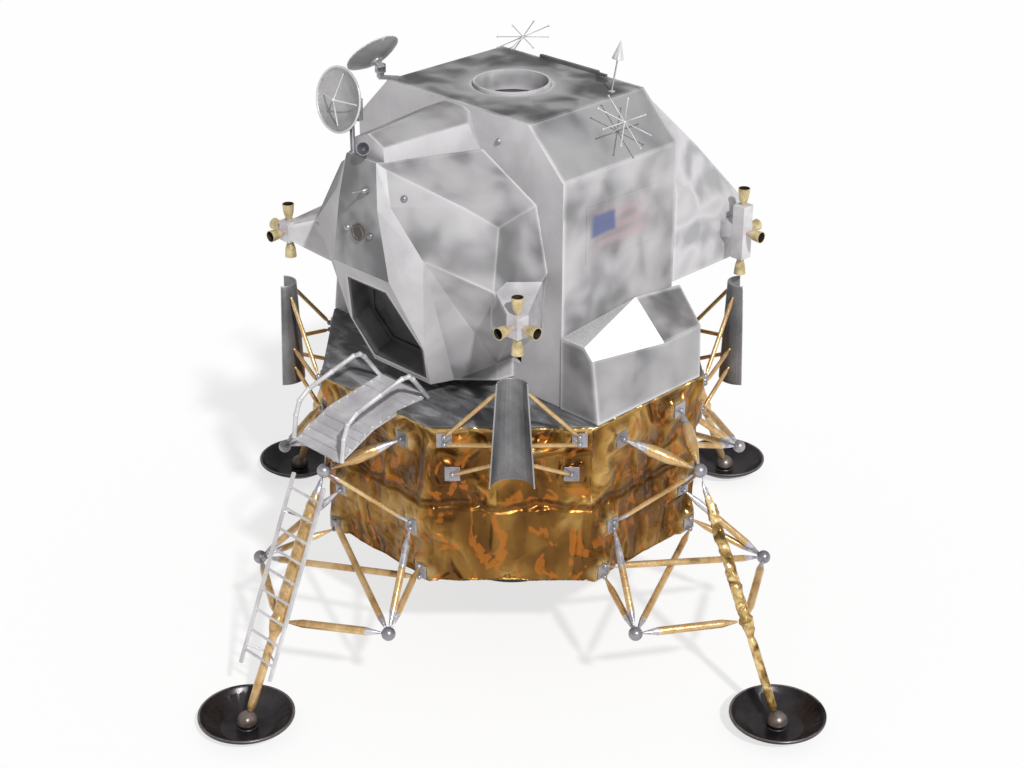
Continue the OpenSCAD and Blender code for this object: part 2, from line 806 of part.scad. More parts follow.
// One thruster, pointing up from a face at the given distance
module thruster(face) {
    start = face + gap;
    mouth = start + thruster_len;
    rotate_extrude($fn = 28)
        polygon([[0, start], [26, start], [28, start + 18], [thruster_r * 0.58, start + 34],
                 [thruster_r * 0.86, start + thruster_len * 0.5], [thruster_r, mouth], [thruster_r - 8, mouth],
                 [thruster_r * 0.72, start + thruster_len * 0.5], [0, start + 60]]);
}

module cluster(reach, sy) {
    thruster(reach);
    rotate([180, 0, 0]) thruster(reach);
    rotate([0, 90, 0]) thruster(hub_half);
    rotate([sy * -90, 0, 0]) thruster(hub_half);
}

module thrusters() {
    color(bell_tan)
        for (s = [0, 1]) mirror([s, 0, 0]) {
            translate([quad_x, -quad_front, quad_z]) cluster(front_reach, -1);
            translate([quad_x, quad_aft, quad_z]) cluster(aft_reach, 1);
        }
}

// The block that carries a cluster, and a square wedge that joins it to the body
module hub_block(reach) {
    translate([-hub_half, -hub_half, -reach]) cube([2 * hub_half, 2 * hub_half, 2 * reach]);
}

module boom(root, hub, root_half, tip_half) {
    along(root, hub - root)
        rotate([0, 0, 45])
            cylinder(h = norm(hub - root), r1 = root_half * sqrt(2), r2 = tip_half * sqrt(2), $fn = 4);
}

front_root = [1475, -1410];
aft_root_y = 1870;

module thruster_booms() {
    front = [front_root[0], front_root[1], quad_z];
    aft = [mid_x - 20, aft_root_y, quad_z];
    front_hub = [quad_x, -quad_front, quad_z];
    aft_hub = [quad_x, quad_aft, quad_z];
    color(pale)
        for (s = [0, 1]) mirror([s, 0, 0]) {
            difference() {
                union() {
                    boom(front, front_hub, 270, 88);
                    translate(front_hub) hub_block(front_reach);
                }
                cabin_shape();
            }
            difference() {
                union() {
                    boom(aft, aft_hub, 110, 60);
                    translate(aft_hub) hub_block(aft_reach);
                }
                translate([-mid_x, 0, 4000]) cube([mid_w, 3000, 2000]);
            }
        }
}

// ---------- dishes ----------
dish_skin = 9;
pin_fit = 0.3;

// A round dish that opens along +Z, with the back of its middle at the origin
module dish(d, depth) {
    n = 7;
    bowl = [for (i = [0 : n]) [d / 2 * i / n, depth * pow(i / n, 2)]];
    rotate_extrude($fn = 56)
        polygon(concat(bowl, [for (i = [n : -1 : 0]) [bowl[i][0], bowl[i][1] + dish_skin]]));
}

// Four stays from the dish's face to its feed
module feed(d, depth, focus, stay_r, feed_r) {
    share = 0.78;
    foot = [d / 2 * share, 0, depth * share * share + dish_skin + stay_r - 0.4];
    for (a = [0, 90, 180, 270])
        rotate([0, 0, a]) rod(foot, [0, 0, focus], stay_r);
    translate([0, 0, focus]) sphere(r = feed_r, $fn = 24);
}

// ---------- forward radar ----------
radar_pivot = [-232, -2075, 6722];
radar_pitch = 11.5;
radar_back = 100;
radar_depth = 105;
cheek_x = 92;
cheek_t = 16;
yoke_half = 72;
ear_in = 36;
ear_t = 15;

// The dish's own frame: x to port, y up its back and z along its sight line
module at_radar() {
    translate(radar_pivot) rotate([90 - radar_pitch, 0, 0]) children();
}

module radar_mast() {
    foot = on_top(radar_pivot[0] + 46, -2150);
    head_z = radar_pivot[2] - 210;
    color(bell_tan)
        difference() {
            union() {
                along(foot, top_dir) cylinder(h = 14, r = 44);
                translate(foot + [0, 0, 6]) cylinder(h = head_z - foot[2], r = 26);
                translate([radar_pivot[0] - cheek_x - cheek_t, radar_pivot[1] - 30, head_z])
                    cube([2 * (cheek_x + cheek_t), 60, 44]);
                translate([foot[0] - 26, foot[1], head_z])
                    cube([52, radar_pivot[1] - foot[1], 44]);
                for (s = [-1, 1])
                    translate([radar_pivot[0] + s * (cheek_x + cheek_t / 2) - cheek_t / 2, radar_pivot[1] - 30, head_z])
                        cube([cheek_t, 60, 236]);
            }
            rod(radar_pivot - [200, 0, 0], radar_pivot + [200, 0, 0], 14 + pin_fit);
        }
}

module radar_yoke() {
    color(dark)
        at_radar() {
            translate([-yoke_half, -26, -26]) cube([2 * yoke_half, 52, 52]);
            rod([-cheek_x - cheek_t, 0, 0], [cheek_x + cheek_t, 0, 0], 14);
            rod([0, -ear_in - ear_t - 4, 0], [0, ear_in + ear_t + 4, 0], 12);
        }
}

module radar_dish() {
    color(skin)
        at_radar() {
            difference() {
                union() {
                    translate([0, 0, radar_back]) dish(radar_d, radar_depth);
                    translate([0, 0, radar_back - 22]) cylinder(h = 28, r = 48);
                    for (s = [-1, 1])
                        translate([-22, s * (ear_in + ear_t / 2) - ear_t / 2, -22]) cube([44, ear_t, radar_back + 4]);
                }
                rod([0, -80, 0], [0, 80, 0], 12 + pin_fit);
            }
            translate([0, 0, radar_back]) feed(radar_d, radar_depth, radar_depth + 72, 7, 20);
        }
}

// ---------- steerable dish ----------
comm_pivot = [-roof_x - 70, -mid_front - 40, roof_z + 140];
comm_foot = [-roof_x + 52, -mid_front + 55, roof_z];
comm_turn = 178.5;
comm_rise = 44;
comm_back = 72;
comm_depth = 100;
bearing_z = comm_pivot[2] - 60;
comm_cheek_y = 50;
comm_cheek_t = 12;

module comm_mast() {
    arm = comm_pivot - comm_foot;
    color(skin) {
        translate(comm_foot + [0, 0, gap]) rotate([0, 0, atan2(arm[1], arm[0])])
            translate([-50, -30, 0]) cube([norm([arm[0], arm[1]]) + 70, 60, 34]);
        translate([comm_pivot[0], comm_pivot[1], roof_z + 20]) cylinder(h = bearing_z - roof_z - 20, r = 42);
        translate([comm_pivot[0], comm_pivot[1], bearing_z - 1]) cylinder(h = 19, r = 16);
    }
}

module comm_yoke() {
    color(dark)
        translate(comm_pivot) rotate([0, 0, comm_turn])
            difference() {
                union() {
                    translate([0, 0, -60 + gap]) cylinder(h = 16, r = comm_cheek_y + comm_cheek_t);
                    for (s = [-1, 1])
                        translate([-22, s * (comm_cheek_y + comm_cheek_t / 2) - comm_cheek_t / 2, -50])
                            cube([44, comm_cheek_t, 74]);
                }
                translate([0, 0, -70]) cylinder(h = 40, r = 16 + pin_fit);
                rod([0, -90, 0], [0, 90, 0], 11 + pin_fit);
            }
}

module comm_dish() {
    color(skin)
        translate(comm_pivot) rotate([0, 90 - comm_rise, comm_turn]) {
            translate([0, 0, comm_back]) dish(comm_d, comm_depth);
            translate([-20, -comm_cheek_y + 8, -20]) cube([40, 2 * comm_cheek_y - 16, comm_back + 24]);
            translate([0, 0, comm_back - 12]) cylinder(h = 18, r = 58);
            rod([0, -comm_cheek_y - comm_cheek_t, 0], [0, comm_cheek_y + comm_cheek_t, 0], 11);
            translate([0, 0, comm_back]) feed(comm_d, comm_depth, comm_depth + 66, 6, 18);
        }
}

// ---------- small antennas and lamps ----------
slope_dir = unit([roof_z - shoulder_z, 0, mid_x - roof_x]);
arm_r = 6;
tip_r = 12;
star_stem = 235;

// Eight arms round a hub in the plane whose normal is n, with a stem down to the foot
module star(foot, hub, n, turn) {
    rod(foot, hub, 9);
    along(hub, n) rotate([0, 0, turn]) {
        sphere(r = 18, $fn = 20);
        for (a = [0 : 45 : 315]) rotate([0, 0, a]) {
            rod([10, 0, 0], [star_arm, 0, 0], arm_r);
            translate([star_arm, 0, 0]) sphere(r = tip_r, $fn = 16);
        }
    }
}

module star_antennas() {
    port_foot = mix([mid_x, 150, shoulder_z], [roof_x, 150, roof_z], 0.47);
    aft_foot = [-roof_x + 160, mid_rear - 26, roof_z + gap];
    color(pale) {
        star(port_foot + slope_dir * gap, port_foot + slope_dir * star_stem, slope_dir, 0);
        translate(aft_foot) cylinder(h = 20, r = 22);
        star(aft_foot + [0, 0, 10], aft_foot + [-40, 230, 90], [slope_dir[0] * -1, 0.35, slope_dir[2]], 10);
    }
}

probe_foot = [roof_x - 125, mid_rear - 385, roof_z];
probe_lean = [30, 50, 365];

module probe_antenna() {
    neck = probe_foot + probe_lean;
    color(pale) {
        rod(probe_foot + [0, 0, 16], neck, 9);
        translate(probe_foot + [-26, -26, gap]) cube([52, 52, 14]);
        along(neck + unit(probe_lean) * gap, probe_lean) cylinder(h = 200, r1 = 66, r2 = 5);
    }
}

// A low dome on the plane z = 0
module dome(r, h) {
    rotate_extrude($fn = 28)
        polygon([for (a = [0 : 15 : 90]) [r * cos(a), h * sin(a)], [0, 0]]);
}

module cup(h, r1, r2, wall) {
    rotate_extrude($fn = 32)
        polygon([[0, 0], [r1, 0], [r2, h], [r2 - wall, h], [r1 - wall, wall], [0, wall]]);
}

module cabin_lamps() {
    column_dir = unit([0, col_mid[2] - col_top[2], col_top[1] - col_mid[1]]);
    beacon = mix(col_mid, col_top, 0.346);
    brow = cabin_corners[5];
    edge = cabin_corners[6] - brow;
    reach = cabin_corners[7] - brow;
    cup_foot = on_top(20, -2160);
    color(skin) {
        along([120, beacon[1], beacon[2]] + column_dir * gap, column_dir)
            rotate_extrude($fn = 28) polygon([[0, 0], [42, 0], [38, 40], [16, 80], [10, 190], [0, 194]]);
        for (x = [-185, 175]) translate([x, col_mid[1], 5370]) rotate([90, 0, 0]) dome(38, 34);
        translate([-5, col_mid[1], 5370]) rotate([90, 0, 0]) cup(30, 88, 92, 20);
        along(brow + edge * 0.573 + reach * 0.2 + unit(cross(reach, edge)) * -gap, cross(edge, reach)) dome(38, 34);
        translate([657, -mid_front, 6185]) rotate([90, 0, 0]) dome(34, 32);
        along(cup_foot, top_dir) cylinder(h = 12, r = 24);
        rod(cup_foot + [0, 0, 6], cup_foot + [0, 0, 125], 14);
        translate(cup_foot + [12.3, -14.7, 110]) rotate([72, 0, 40]) cup(120, 32, 74, 9);
    }
}

descent_stage();
stage_deck();
engine_block();
engine_nozzle();
gimbal_ring();
gimbal_pivots();
strut_fittings();
gear_struts();
gear_braces();
gear_balls();
footpads();
ladder();
porch();
handrails();
plume_deflectors();
deflector_struts();
mid_section();
cabin();
cabin_roof_box();
hatch_frame();
forward_hatch();
docking_ring();
overhead_hatch();
port_tank_cover();
starboard_tank_cover();
aft_bay();
thruster_booms();
thrusters();
radar_mast();
radar_yoke();
radar_dish();
comm_mast();
comm_yoke();
comm_dish();
star_antennas();
probe_antenna();
cabin_lamps();
roof_box();
flag_panel();
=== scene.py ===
"""Looks for a crewed lunar lander: foil, skins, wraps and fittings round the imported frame."""

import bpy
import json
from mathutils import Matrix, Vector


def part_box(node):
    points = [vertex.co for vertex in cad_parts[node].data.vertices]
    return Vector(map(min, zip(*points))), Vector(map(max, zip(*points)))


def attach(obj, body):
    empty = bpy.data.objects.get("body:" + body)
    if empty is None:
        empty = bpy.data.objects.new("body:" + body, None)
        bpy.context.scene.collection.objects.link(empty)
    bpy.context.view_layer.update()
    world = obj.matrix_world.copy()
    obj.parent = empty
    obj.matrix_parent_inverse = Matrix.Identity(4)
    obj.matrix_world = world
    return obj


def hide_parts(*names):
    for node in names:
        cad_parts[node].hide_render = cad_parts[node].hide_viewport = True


bl_info = {
    "name": "Lunar lander looks",
    "version": (1, 0, 0),
    "blender": (4, 5, 0),
    "location": "View3D > Sidebar > Lander",
    "description": "Builds the foil, skins and small fittings of a lunar lander round its frame",
    "category": "Add Mesh",
}

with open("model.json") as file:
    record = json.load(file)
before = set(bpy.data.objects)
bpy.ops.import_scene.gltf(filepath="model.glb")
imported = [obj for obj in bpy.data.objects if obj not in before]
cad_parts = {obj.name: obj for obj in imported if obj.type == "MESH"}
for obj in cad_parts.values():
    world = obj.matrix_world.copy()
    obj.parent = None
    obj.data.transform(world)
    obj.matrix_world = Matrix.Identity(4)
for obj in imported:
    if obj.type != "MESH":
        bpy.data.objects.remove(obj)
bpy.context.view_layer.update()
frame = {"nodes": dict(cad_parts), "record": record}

import json
import math

import bpy
from bpy.props import FloatProperty, FloatVectorProperty, PointerProperty
from mathutils import Matrix, Vector

NODES = frame["nodes"]
MADE = {}


# ---------- shader maths ----------
class Wire:
    """A socket that takes part in sums: each operator adds its Math node."""

    def __init__(self, finish, socket):
        self.finish = finish
        self.socket = socket

    def _sum(self, operation, a, b):
        return self.finish.add("ShaderNodeMath", {"operation": operation}, {0: a, 1: b})

    def __add__(self, other):
        return self._sum("ADD", self, other)

    def __radd__(self, other):
        return self._sum("ADD", other, self)

    def __sub__(self, other):
        return self._sum("SUBTRACT", self, other)

    def __rsub__(self, other):
        return self._sum("SUBTRACT", other, self)

    def __mul__(self, other):
        return self._sum("MULTIPLY", self, other)

    def __rmul__(self, other):
        return self._sum("MULTIPLY", other, self)


class Finish:
    """A material under construction."""

    def __init__(self, name):
        self.material = bpy.data.materials.new(name)
        self.material.use_nodes = True
        self.tree = self.material.node_tree
        self.tree.nodes.clear()
        self.out = self.tree.nodes.new("ShaderNodeOutputMaterial")
        self.place = self.add("ShaderNodeTexCoord", {}, {}, "Object")

    def add(self, kind, settings, inputs, output=0):
        node = self.tree.nodes.new(kind)
        for key, value in settings.items():
            if key == "ramp":
                self._ramp(node, value)
            else:
                setattr(node, key, value)
        for key, value in inputs.items():
            if isinstance(value, Wire):
                self.tree.links.new(value.socket, node.inputs[key])
            else:
                node.inputs[key].default_value = value
        return Wire(self, node.outputs[output])

    @staticmethod
    def _ramp(node, stops):
        ramp = node.color_ramp
        while len(ramp.elements) < len(stops):
            ramp.elements.new(0.5)
        for element, (place, colour) in zip(ramp.elements, stops):
            element.position = place
            element.color = (*colour, 1)

    def noise(self, scale, detail=3.0, roughness=0.5, distortion=0.0, at=None, output=0):
        return self.add("ShaderNodeTexNoise", {}, {
            "Vector": at or self.place, "Scale": scale, "Detail": detail,
            "Roughness": roughness, "Distortion": distortion}, output)

    def stretched(self, scale, turn=(0, 0, 0), shift=(0, 0, 0)):
        return self.add("ShaderNodeMapping", {}, {
            "Vector": self.place, "Scale": scale, "Rotation": turn, "Location": shift})

    def part(self, axis):
        return self.add("ShaderNodeSeparateXYZ", {}, {0: self.place}, axis)

    def ease(self, value, low, high, to_low=0.0, to_high=1.0):
        return self.add("ShaderNodeMapRange", {"interpolation_type": "SMOOTHSTEP"}, {
            "Value": value, "From Min": low, "From Max": high, "To Min": to_low, "To Max": to_high})

    def mix(self, share, a, b):
        def full(c):
            return c if isinstance(c, Wire) else (*c, 1)
        return self.add("ShaderNodeMix", {"data_type": "RGBA"}, {0: share, 6: full(a), 7: full(b)}, 2)

    def ramp(self, value, stops):
        return self.add("ShaderNodeValToRGB", {"ramp": stops}, {0: value})

    def edge(self, width):
        """1 along the solid's edges and 0 on its flats."""
        round_normal = self.add("ShaderNodeBevel", {"samples": 6}, {"Radius": width})
        flat = self.add("ShaderNodeNewGeometry", {}, {}, "Normal")
        same = self.add("ShaderNodeVectorMath", {"operation": "DOT_PRODUCT"},
                        {0: round_normal, 1: flat}, "Value")
        return self.ease(same, 0.999, 0.93)

    def near(self, point, reach, fade):
        """1 within reach of the point, falling to 0 over fade."""
        away = self.add("ShaderNodeVectorMath", {"operation": "DISTANCE"},
                        {0: self.folded(), 1: point}, "Value")
        return self.ease(away, reach, reach + fade, 1.0, 0.0)

    def flat_length(self, at):
        """How far a place lies from the upright axis."""
        flat = self.add("ShaderNodeVectorMath", {"operation": "MULTIPLY"}, {0: at, 1: (1, 1, 0)})
        return self.add("ShaderNodeVectorMath", {"operation": "LENGTH"}, {0: flat}, "Value")

    def near_wall(self, point, reach, fade):
        """Like near, on a wall: only the sideways and upward distances from the point count."""
        off = self.add("ShaderNodeVectorMath", {"operation": "SUBTRACT"}, {0: self.folded(), 1: point})
        wall = self.add("ShaderNodeVectorMath", {"operation": "MULTIPLY"}, {0: off, 1: (1, 0.12, 1)})
        away = self.add("ShaderNodeVectorMath", {"operation": "LENGTH"}, {0: wall}, "Value")
        return self.ease(away, reach, reach + fade, 1.0, 0.0)

    def folded(self):
        """The place with all four legs folded on to one: the larger of |x| and |y| comes second."""
        if not hasattr(self, "_folded"):
            x = self.add("ShaderNodeMath", {"operation": "ABSOLUTE"}, {0: self.part("X")})
            y = self.add("ShaderNodeMath", {"operation": "ABSOLUTE"}, {0: self.part("Y")})
            low = self.add("ShaderNodeMath", {"operation": "MINIMUM"}, {0: x, 1: y})
            high = self.add("ShaderNodeMath", {"operation": "MAXIMUM"}, {0: x, 1: y})
            self._folded = self.add("ShaderNodeCombineXYZ", {}, {0: low, 1: high, 2: self.part("Z")})
        return self._folded

    def bump(self, height, strength, distance):
        return self.add("ShaderNodeBump", {}, {"Height": height, "Strength": strength, "Distance": distance})

    def shade(self, **sockets):
        names = {"colour": "Base Color", "rough": "Roughness", "metal": "Metallic", "normal": "Normal"}
        inputs = {names[key]: value for key, value in sockets.items()}
        surface = self.add("ShaderNodeBsdfPrincipled", {}, inputs)
        self.tree.links.new(surface.socket, self.out.inputs[0])
        return self.material


# ---------- finishes ----------
def gold_foil(name="stage gold foil"):
    """Metallised film: broad gold folds with painted shade and dark reflections in the brown hollows and
    along the crease, painted orange glints, a painted highlight along the top edge, and pale halos round the
    plates.
    """
    f = Finish(name)
    z = f.part("Z")
    broad = f.noise(0.8, 1.0, 0.5, 0.5)
    folds = f.noise(2.3, 1.6, 0.45, 1.1, at=f.stretched((1.0, 1.0, 0.8)))
    hung = f.noise(3.6, 1.0, 0.5, 0.6, at=f.stretched((1.0, 1.0, 0.36), shift=(1.3, 0.4, 0.0)))
    below = f.ease(z, 2.45, 2.15)
    wander = z + (folds - 0.5) * 0.20
    crease = f.ease(wander, 2.26, 2.33) * f.ease(wander, 2.42, 2.35)
    swell = folds * (1.0 - below * 0.5) + hung * (below * 0.5)
    tone = broad * 0.4 + swell * 0.6
    # painted shade and dark reflections: the colour follows the fold height, dark brown in the hollows and
    # gold on the swells
    colour = f.ramp(tone, [(0.38, (0.110, 0.044, 0.007)), (0.47, (0.22, 0.100, 0.017)),
                           (0.54, (0.37, 0.195, 0.040)), (0.63, (0.62, 0.390, 0.125))])
    colour = f.mix(below * 0.30, colour, (0.115, 0.052, 0.012))
    # painted highlight: orange glints along thin streaks
    streak = f.noise(2.6, 2.0, 0.5, 2.2, at=f.stretched((1, 1, 0.7), shift=(3.1, 0.7, 1.9)))
    glint = f.ease(streak, 0.575, 0.620)
    colour = f.mix(glint * 0.55, colour, (0.55, 0.170, 0.022))
    # painted shade along the crease
    colour = f.mix(crease * 0.65, colour, (0.13, 0.050, 0.008))
    # painted highlight along the top edge
    colour = f.mix(f.ease(z, 3.25, 3.31) * 0.6, colour, (0.86, 0.60, 0.24))
    halo = None
    for point in HALOS:
        ring = f.near_wall(point, 0.09, 0.10)
        halo = ring if halo is None else f.add("ShaderNodeMath", {"operation": "MAXIMUM"}, {0: halo, 1: ring})
    colour = f.mix(halo * 0.5, colour, (0.84, 0.62, 0.28))
    height = swell + crease * -0.15 + f.noise(4.4, 1.0, 0.5, 0.6) * 0.16
    normal = f.bump(height, 1.0, 0.26)
    return f.shade(colour=colour, metal=0.80, rough=f.ease(folds, 0.3, 0.7, 0.26, 0.38), normal=normal)


def cloudy(f, low, high, seed):
    """The soft clouds of a silver skin: its colour, its cloud and its bump."""
    at = f.stretched((1, 1, 1), shift=(seed, seed * 0.7, -seed))
    blot = f.noise(1.2, 1.5, 0.45, 0.3, at=at)
    cloud = f.noise(2.6, 1.5, 0.45, 0.3, at=at)
    colour = f.ramp(blot * 0.55 + cloud * 0.45, [
        (0.38, (low, low * 0.985, low * 1.01)), (0.46, (low * 1.6, low * 1.56, low * 1.60)),
        (0.53, (high * 0.86, high * 0.84, high * 0.858)), (0.62, (high, high * 0.98, high * 0.995))])
    height = f.noise(1.7, 2.0, 0.5, 0.4, at=at) + f.noise(9.0, 2.0, 0.5, at=at) * 0.05
    return colour, cloud, f.bump(height, 0.3, 0.05)


def silver_skin(name="blotched silver skin", low=0.22, high=0.54, edge=0.10, seed=0.0, metal=0.12,
                roof=False):
    """Thin aluminium skin: soft dark clouds inside each panel and a broad painted highlight along its edges;
    with roof, painted shade on the upper slope and a dark clouded top, paler near the middle.
    """
    f = Finish(name)
    colour, cloud, normal = cloudy(f, low, high, seed)
    if roof:
        # painted shade: darker above z 5.95, on the upper slope that gets less light
        colour = f.mix(f.ease(f.part("Z"), 5.95, 5.98) * 0.45, colour, (0.115, 0.113, 0.117))
        top = f.ease(f.part("Z"), 6.455, 6.465)
        across = f.flat_length(f.place)
        dark = f.ramp(cloud, [(0.40, (0.080, 0.079, 0.083)), (0.50, (0.150, 0.148, 0.153)),
                              (0.62, (0.30, 0.295, 0.30))])
        dark = f.mix(f.ease(across, 0.46, 0.80, 1.0, 0.0) * 0.8, dark, (0.44, 0.43, 0.435))
        colour = f.mix(top, colour, dark)
    # painted highlight along the panel edges
    painted_edge_highlight = f.edge(edge)
    colour = f.mix(painted_edge_highlight * f.ease(cloud, 0.28, 0.55, 0.55, 0.95), colour, (0.64, 0.63, 0.64))
    return f.shade(colour=colour, metal=metal, rough=f.ease(cloud, 0.35, 0.65, 0.50, 0.60), normal=normal)


def speckled_finish():
    """A bright skin with a fine pale speckle."""
    f = Finish("speckled silver skin")
    fine = f.noise(95, 2.0, 0.6)
    colour = f.ramp(fine, [(0.40, (0.36, 0.355, 0.36)), (0.62, (0.66, 0.65, 0.655))])
    # painted highlight along the edges
    colour = f.mix(f.edge(0.07) * 0.5, colour, (0.72, 0.71, 0.72))
    return f.shade(colour=colour, metal=0.15, rough=0.42, normal=f.bump(fine, 0.2, 0.006))


def strut_wrap(name="strut foil wrap", rough_up=0.0):
    """Tan film wrapped round the struts, with bare silvery ends at the lower joints."""
    f = Finish(name)
    wrinkle = f.noise(9, 3.0, 0.55, 0.8)
    stain = f.noise(2.4, 2.0, 0.5)
    tone = stain * 0.5 + wrinkle * 0.5
    if rough_up:
        deep = f.noise(5.5, 2.0, 0.5, 1.2)
        tone = tone * 0.4 + deep * 0.6
        stops = [(0.38, (0.085, 0.045, 0.012)), (0.48, (0.40, 0.24, 0.070)), (0.58, (0.84, 0.64, 0.31))]
    else:
        stops = [(0.34, (0.46, 0.265, 0.100)), (0.46, (0.60, 0.385, 0.170)), (0.60, (0.73, 0.52, 0.275))]
    colour = f.ramp(tone, stops)
    silver = f.ramp(wrinkle, [(0.36, (0.34, 0.33, 0.37)), (0.60, (0.66, 0.65, 0.69))])
    bare = None
    for point, reach in BARE_ENDS:
        end = f.near(point, reach, 0.05)
        bare = end if bare is None else f.add("ShaderNodeMath", {"operation": "MAXIMUM"}, {0: bare, 1: end})
    colour = f.mix(bare, colour, silver)
    return f.shade(colour=colour, metal=0.6, rough=0.33, normal=f.bump(wrinkle, 0.45, 0.02))


def plain_metal(name, low, high, metal, rough, scale=3.0, grain=40.0, bump=0.08, edge=0.0,
                highlight_colour=(0.7, 0.7, 0.7)):
    """Painted or bare metal with soft stains, a fine grain and, where asked, a painted highlight along its
    edges.
    """
    f = Finish(name)
    stain = f.noise(scale, 3.0, 0.55, 0.3)
    fine = f.noise(grain, 2.0, 0.6)
    colour = f.ramp(stain * 0.85 + fine * 0.15, [(0.36, low), (0.62, high)])
    if edge:
        # painted highlight along the edges
        colour = f.mix(f.edge(edge) * 0.8, colour, highlight_colour)
    return f.shade(colour=colour, metal=metal, rough=f.ease(stain, 0.3, 0.7, rough * 0.85, rough * 1.15),
                   normal=f.bump(fine, bump, 0.01))


def column_finish():
    """The narrow front column: mid grey with darker shaded flanks and soft pale blotches."""
    f = Finish("column front")
    x = f.add("ShaderNodeMath", {"operation": "ABSOLUTE"}, {0: f.part("X")})
    stain = f.noise(1.8, 2.0, 0.5, 0.3)
    colour = f.ramp(stain, [(0.36, (0.145, 0.145, 0.15)), (0.60, (0.31, 0.305, 0.31))])
    colour = f.mix(f.ease(x, 0.16, 0.40) * 0.55, colour, (0.10, 0.10, 0.105))
    pale = f.ease(f.noise(1.3, 2.0, 0.5, 0.4), 0.5, 0.64)
    colour = f.mix(pale * 0.55, colour, (0.50, 0.49, 0.50))
    return f.shade(colour=colour, metal=0.2, rough=0.45, normal=f.bump(stain, 0.3, 0.04))


def port_finish():
    """Copper-tinted ring on the column: warm rim, dark well."""
    f = Finish("coppery ring")
    warm = f.noise(20, 2.0, 0.5)
    colour = f.ramp(warm, [(0.38, (0.20, 0.13, 0.105)), (0.62, (0.40, 0.30, 0.26))])
    return f.shade(colour=colour, metal=0.6, rough=0.36, normal=f.bump(warm, 0.1, 0.004))


def rimmed(name, low, high, rim, metal, rough, edge=0.02):
    """A dark bowl or plate with a painted highlight along its lip."""
    return plain_metal(name, low, high, metal, rough, scale=1.8, edge=edge, highlight_colour=rim)


def deck_finish():
    """Grey deck with pale streaks."""
    f = Finish("streaked deck")
    streak = f.noise(1.7, 4.0, 0.6, 1.2, at=f.stretched((1.0, 2.6, 1.0), turn=(0, 0, 0.6)))
    colour = f.ramp(streak, [(0.38, (0.085, 0.085, 0.090)), (0.54, (0.165, 0.165, 0.170)),
                             (0.68, (0.33, 0.33, 0.335))])
    return f.shade(colour=colour, metal=0.2, rough=0.5, normal=f.bump(f.noise(16, 3.0), 0.2, 0.01))


def panel_finish():
    """A plain faded marker: the skin's own clouds with a soft blue block and warm bands over them."""
    f = Finish("faded panel")
    y, z = f.part("Y"), f.part("Z")
    low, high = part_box("flag_panel")
    wide, tall = high[1] - low[1], high[2] - low[2]
    colour, cloud, normal = cloudy(f, 0.21, 0.50, 2.3)
    y = y + (cloud - 0.5) * 0.08
    z = z + (cloud - 0.5) * 0.08
    inside = (f.ease(y, low[1] + 0.02, low[1] + wide * 0.20)
              * f.ease(y, high[1] - 0.02, high[1] - wide * 0.25)
              * f.ease(z, low[2] + 0.02, low[2] + tall * 0.30)
              * f.ease(z, high[2] - 0.02, high[2] - tall * 0.20))
    block = (f.ease(y, low[1] + wide * 0.04, low[1] + wide * 0.12)
             * f.ease(y, low[1] + wide * 0.44, low[1] + wide * 0.37)
             * f.ease(z, high[2] - tall * 0.60, high[2] - tall * 0.52)
             * f.ease(z, high[2] - tall * 0.14, high[2] - tall * 0.24))
    bands = f.ease(f.add("ShaderNodeMath", {"operation": "SINE"}, {0: z * (math.pi * 13)}), -0.7, 0.7)
    colour = f.mix(inside * (bands * 0.30 + 0.30), colour, (0.44, 0.33, 0.345))
    colour = f.mix(block * 0.88, colour, (0.085, 0.115, 0.25))
    return f.shade(colour=colour, metal=0.12, rough=0.55, normal=normal)


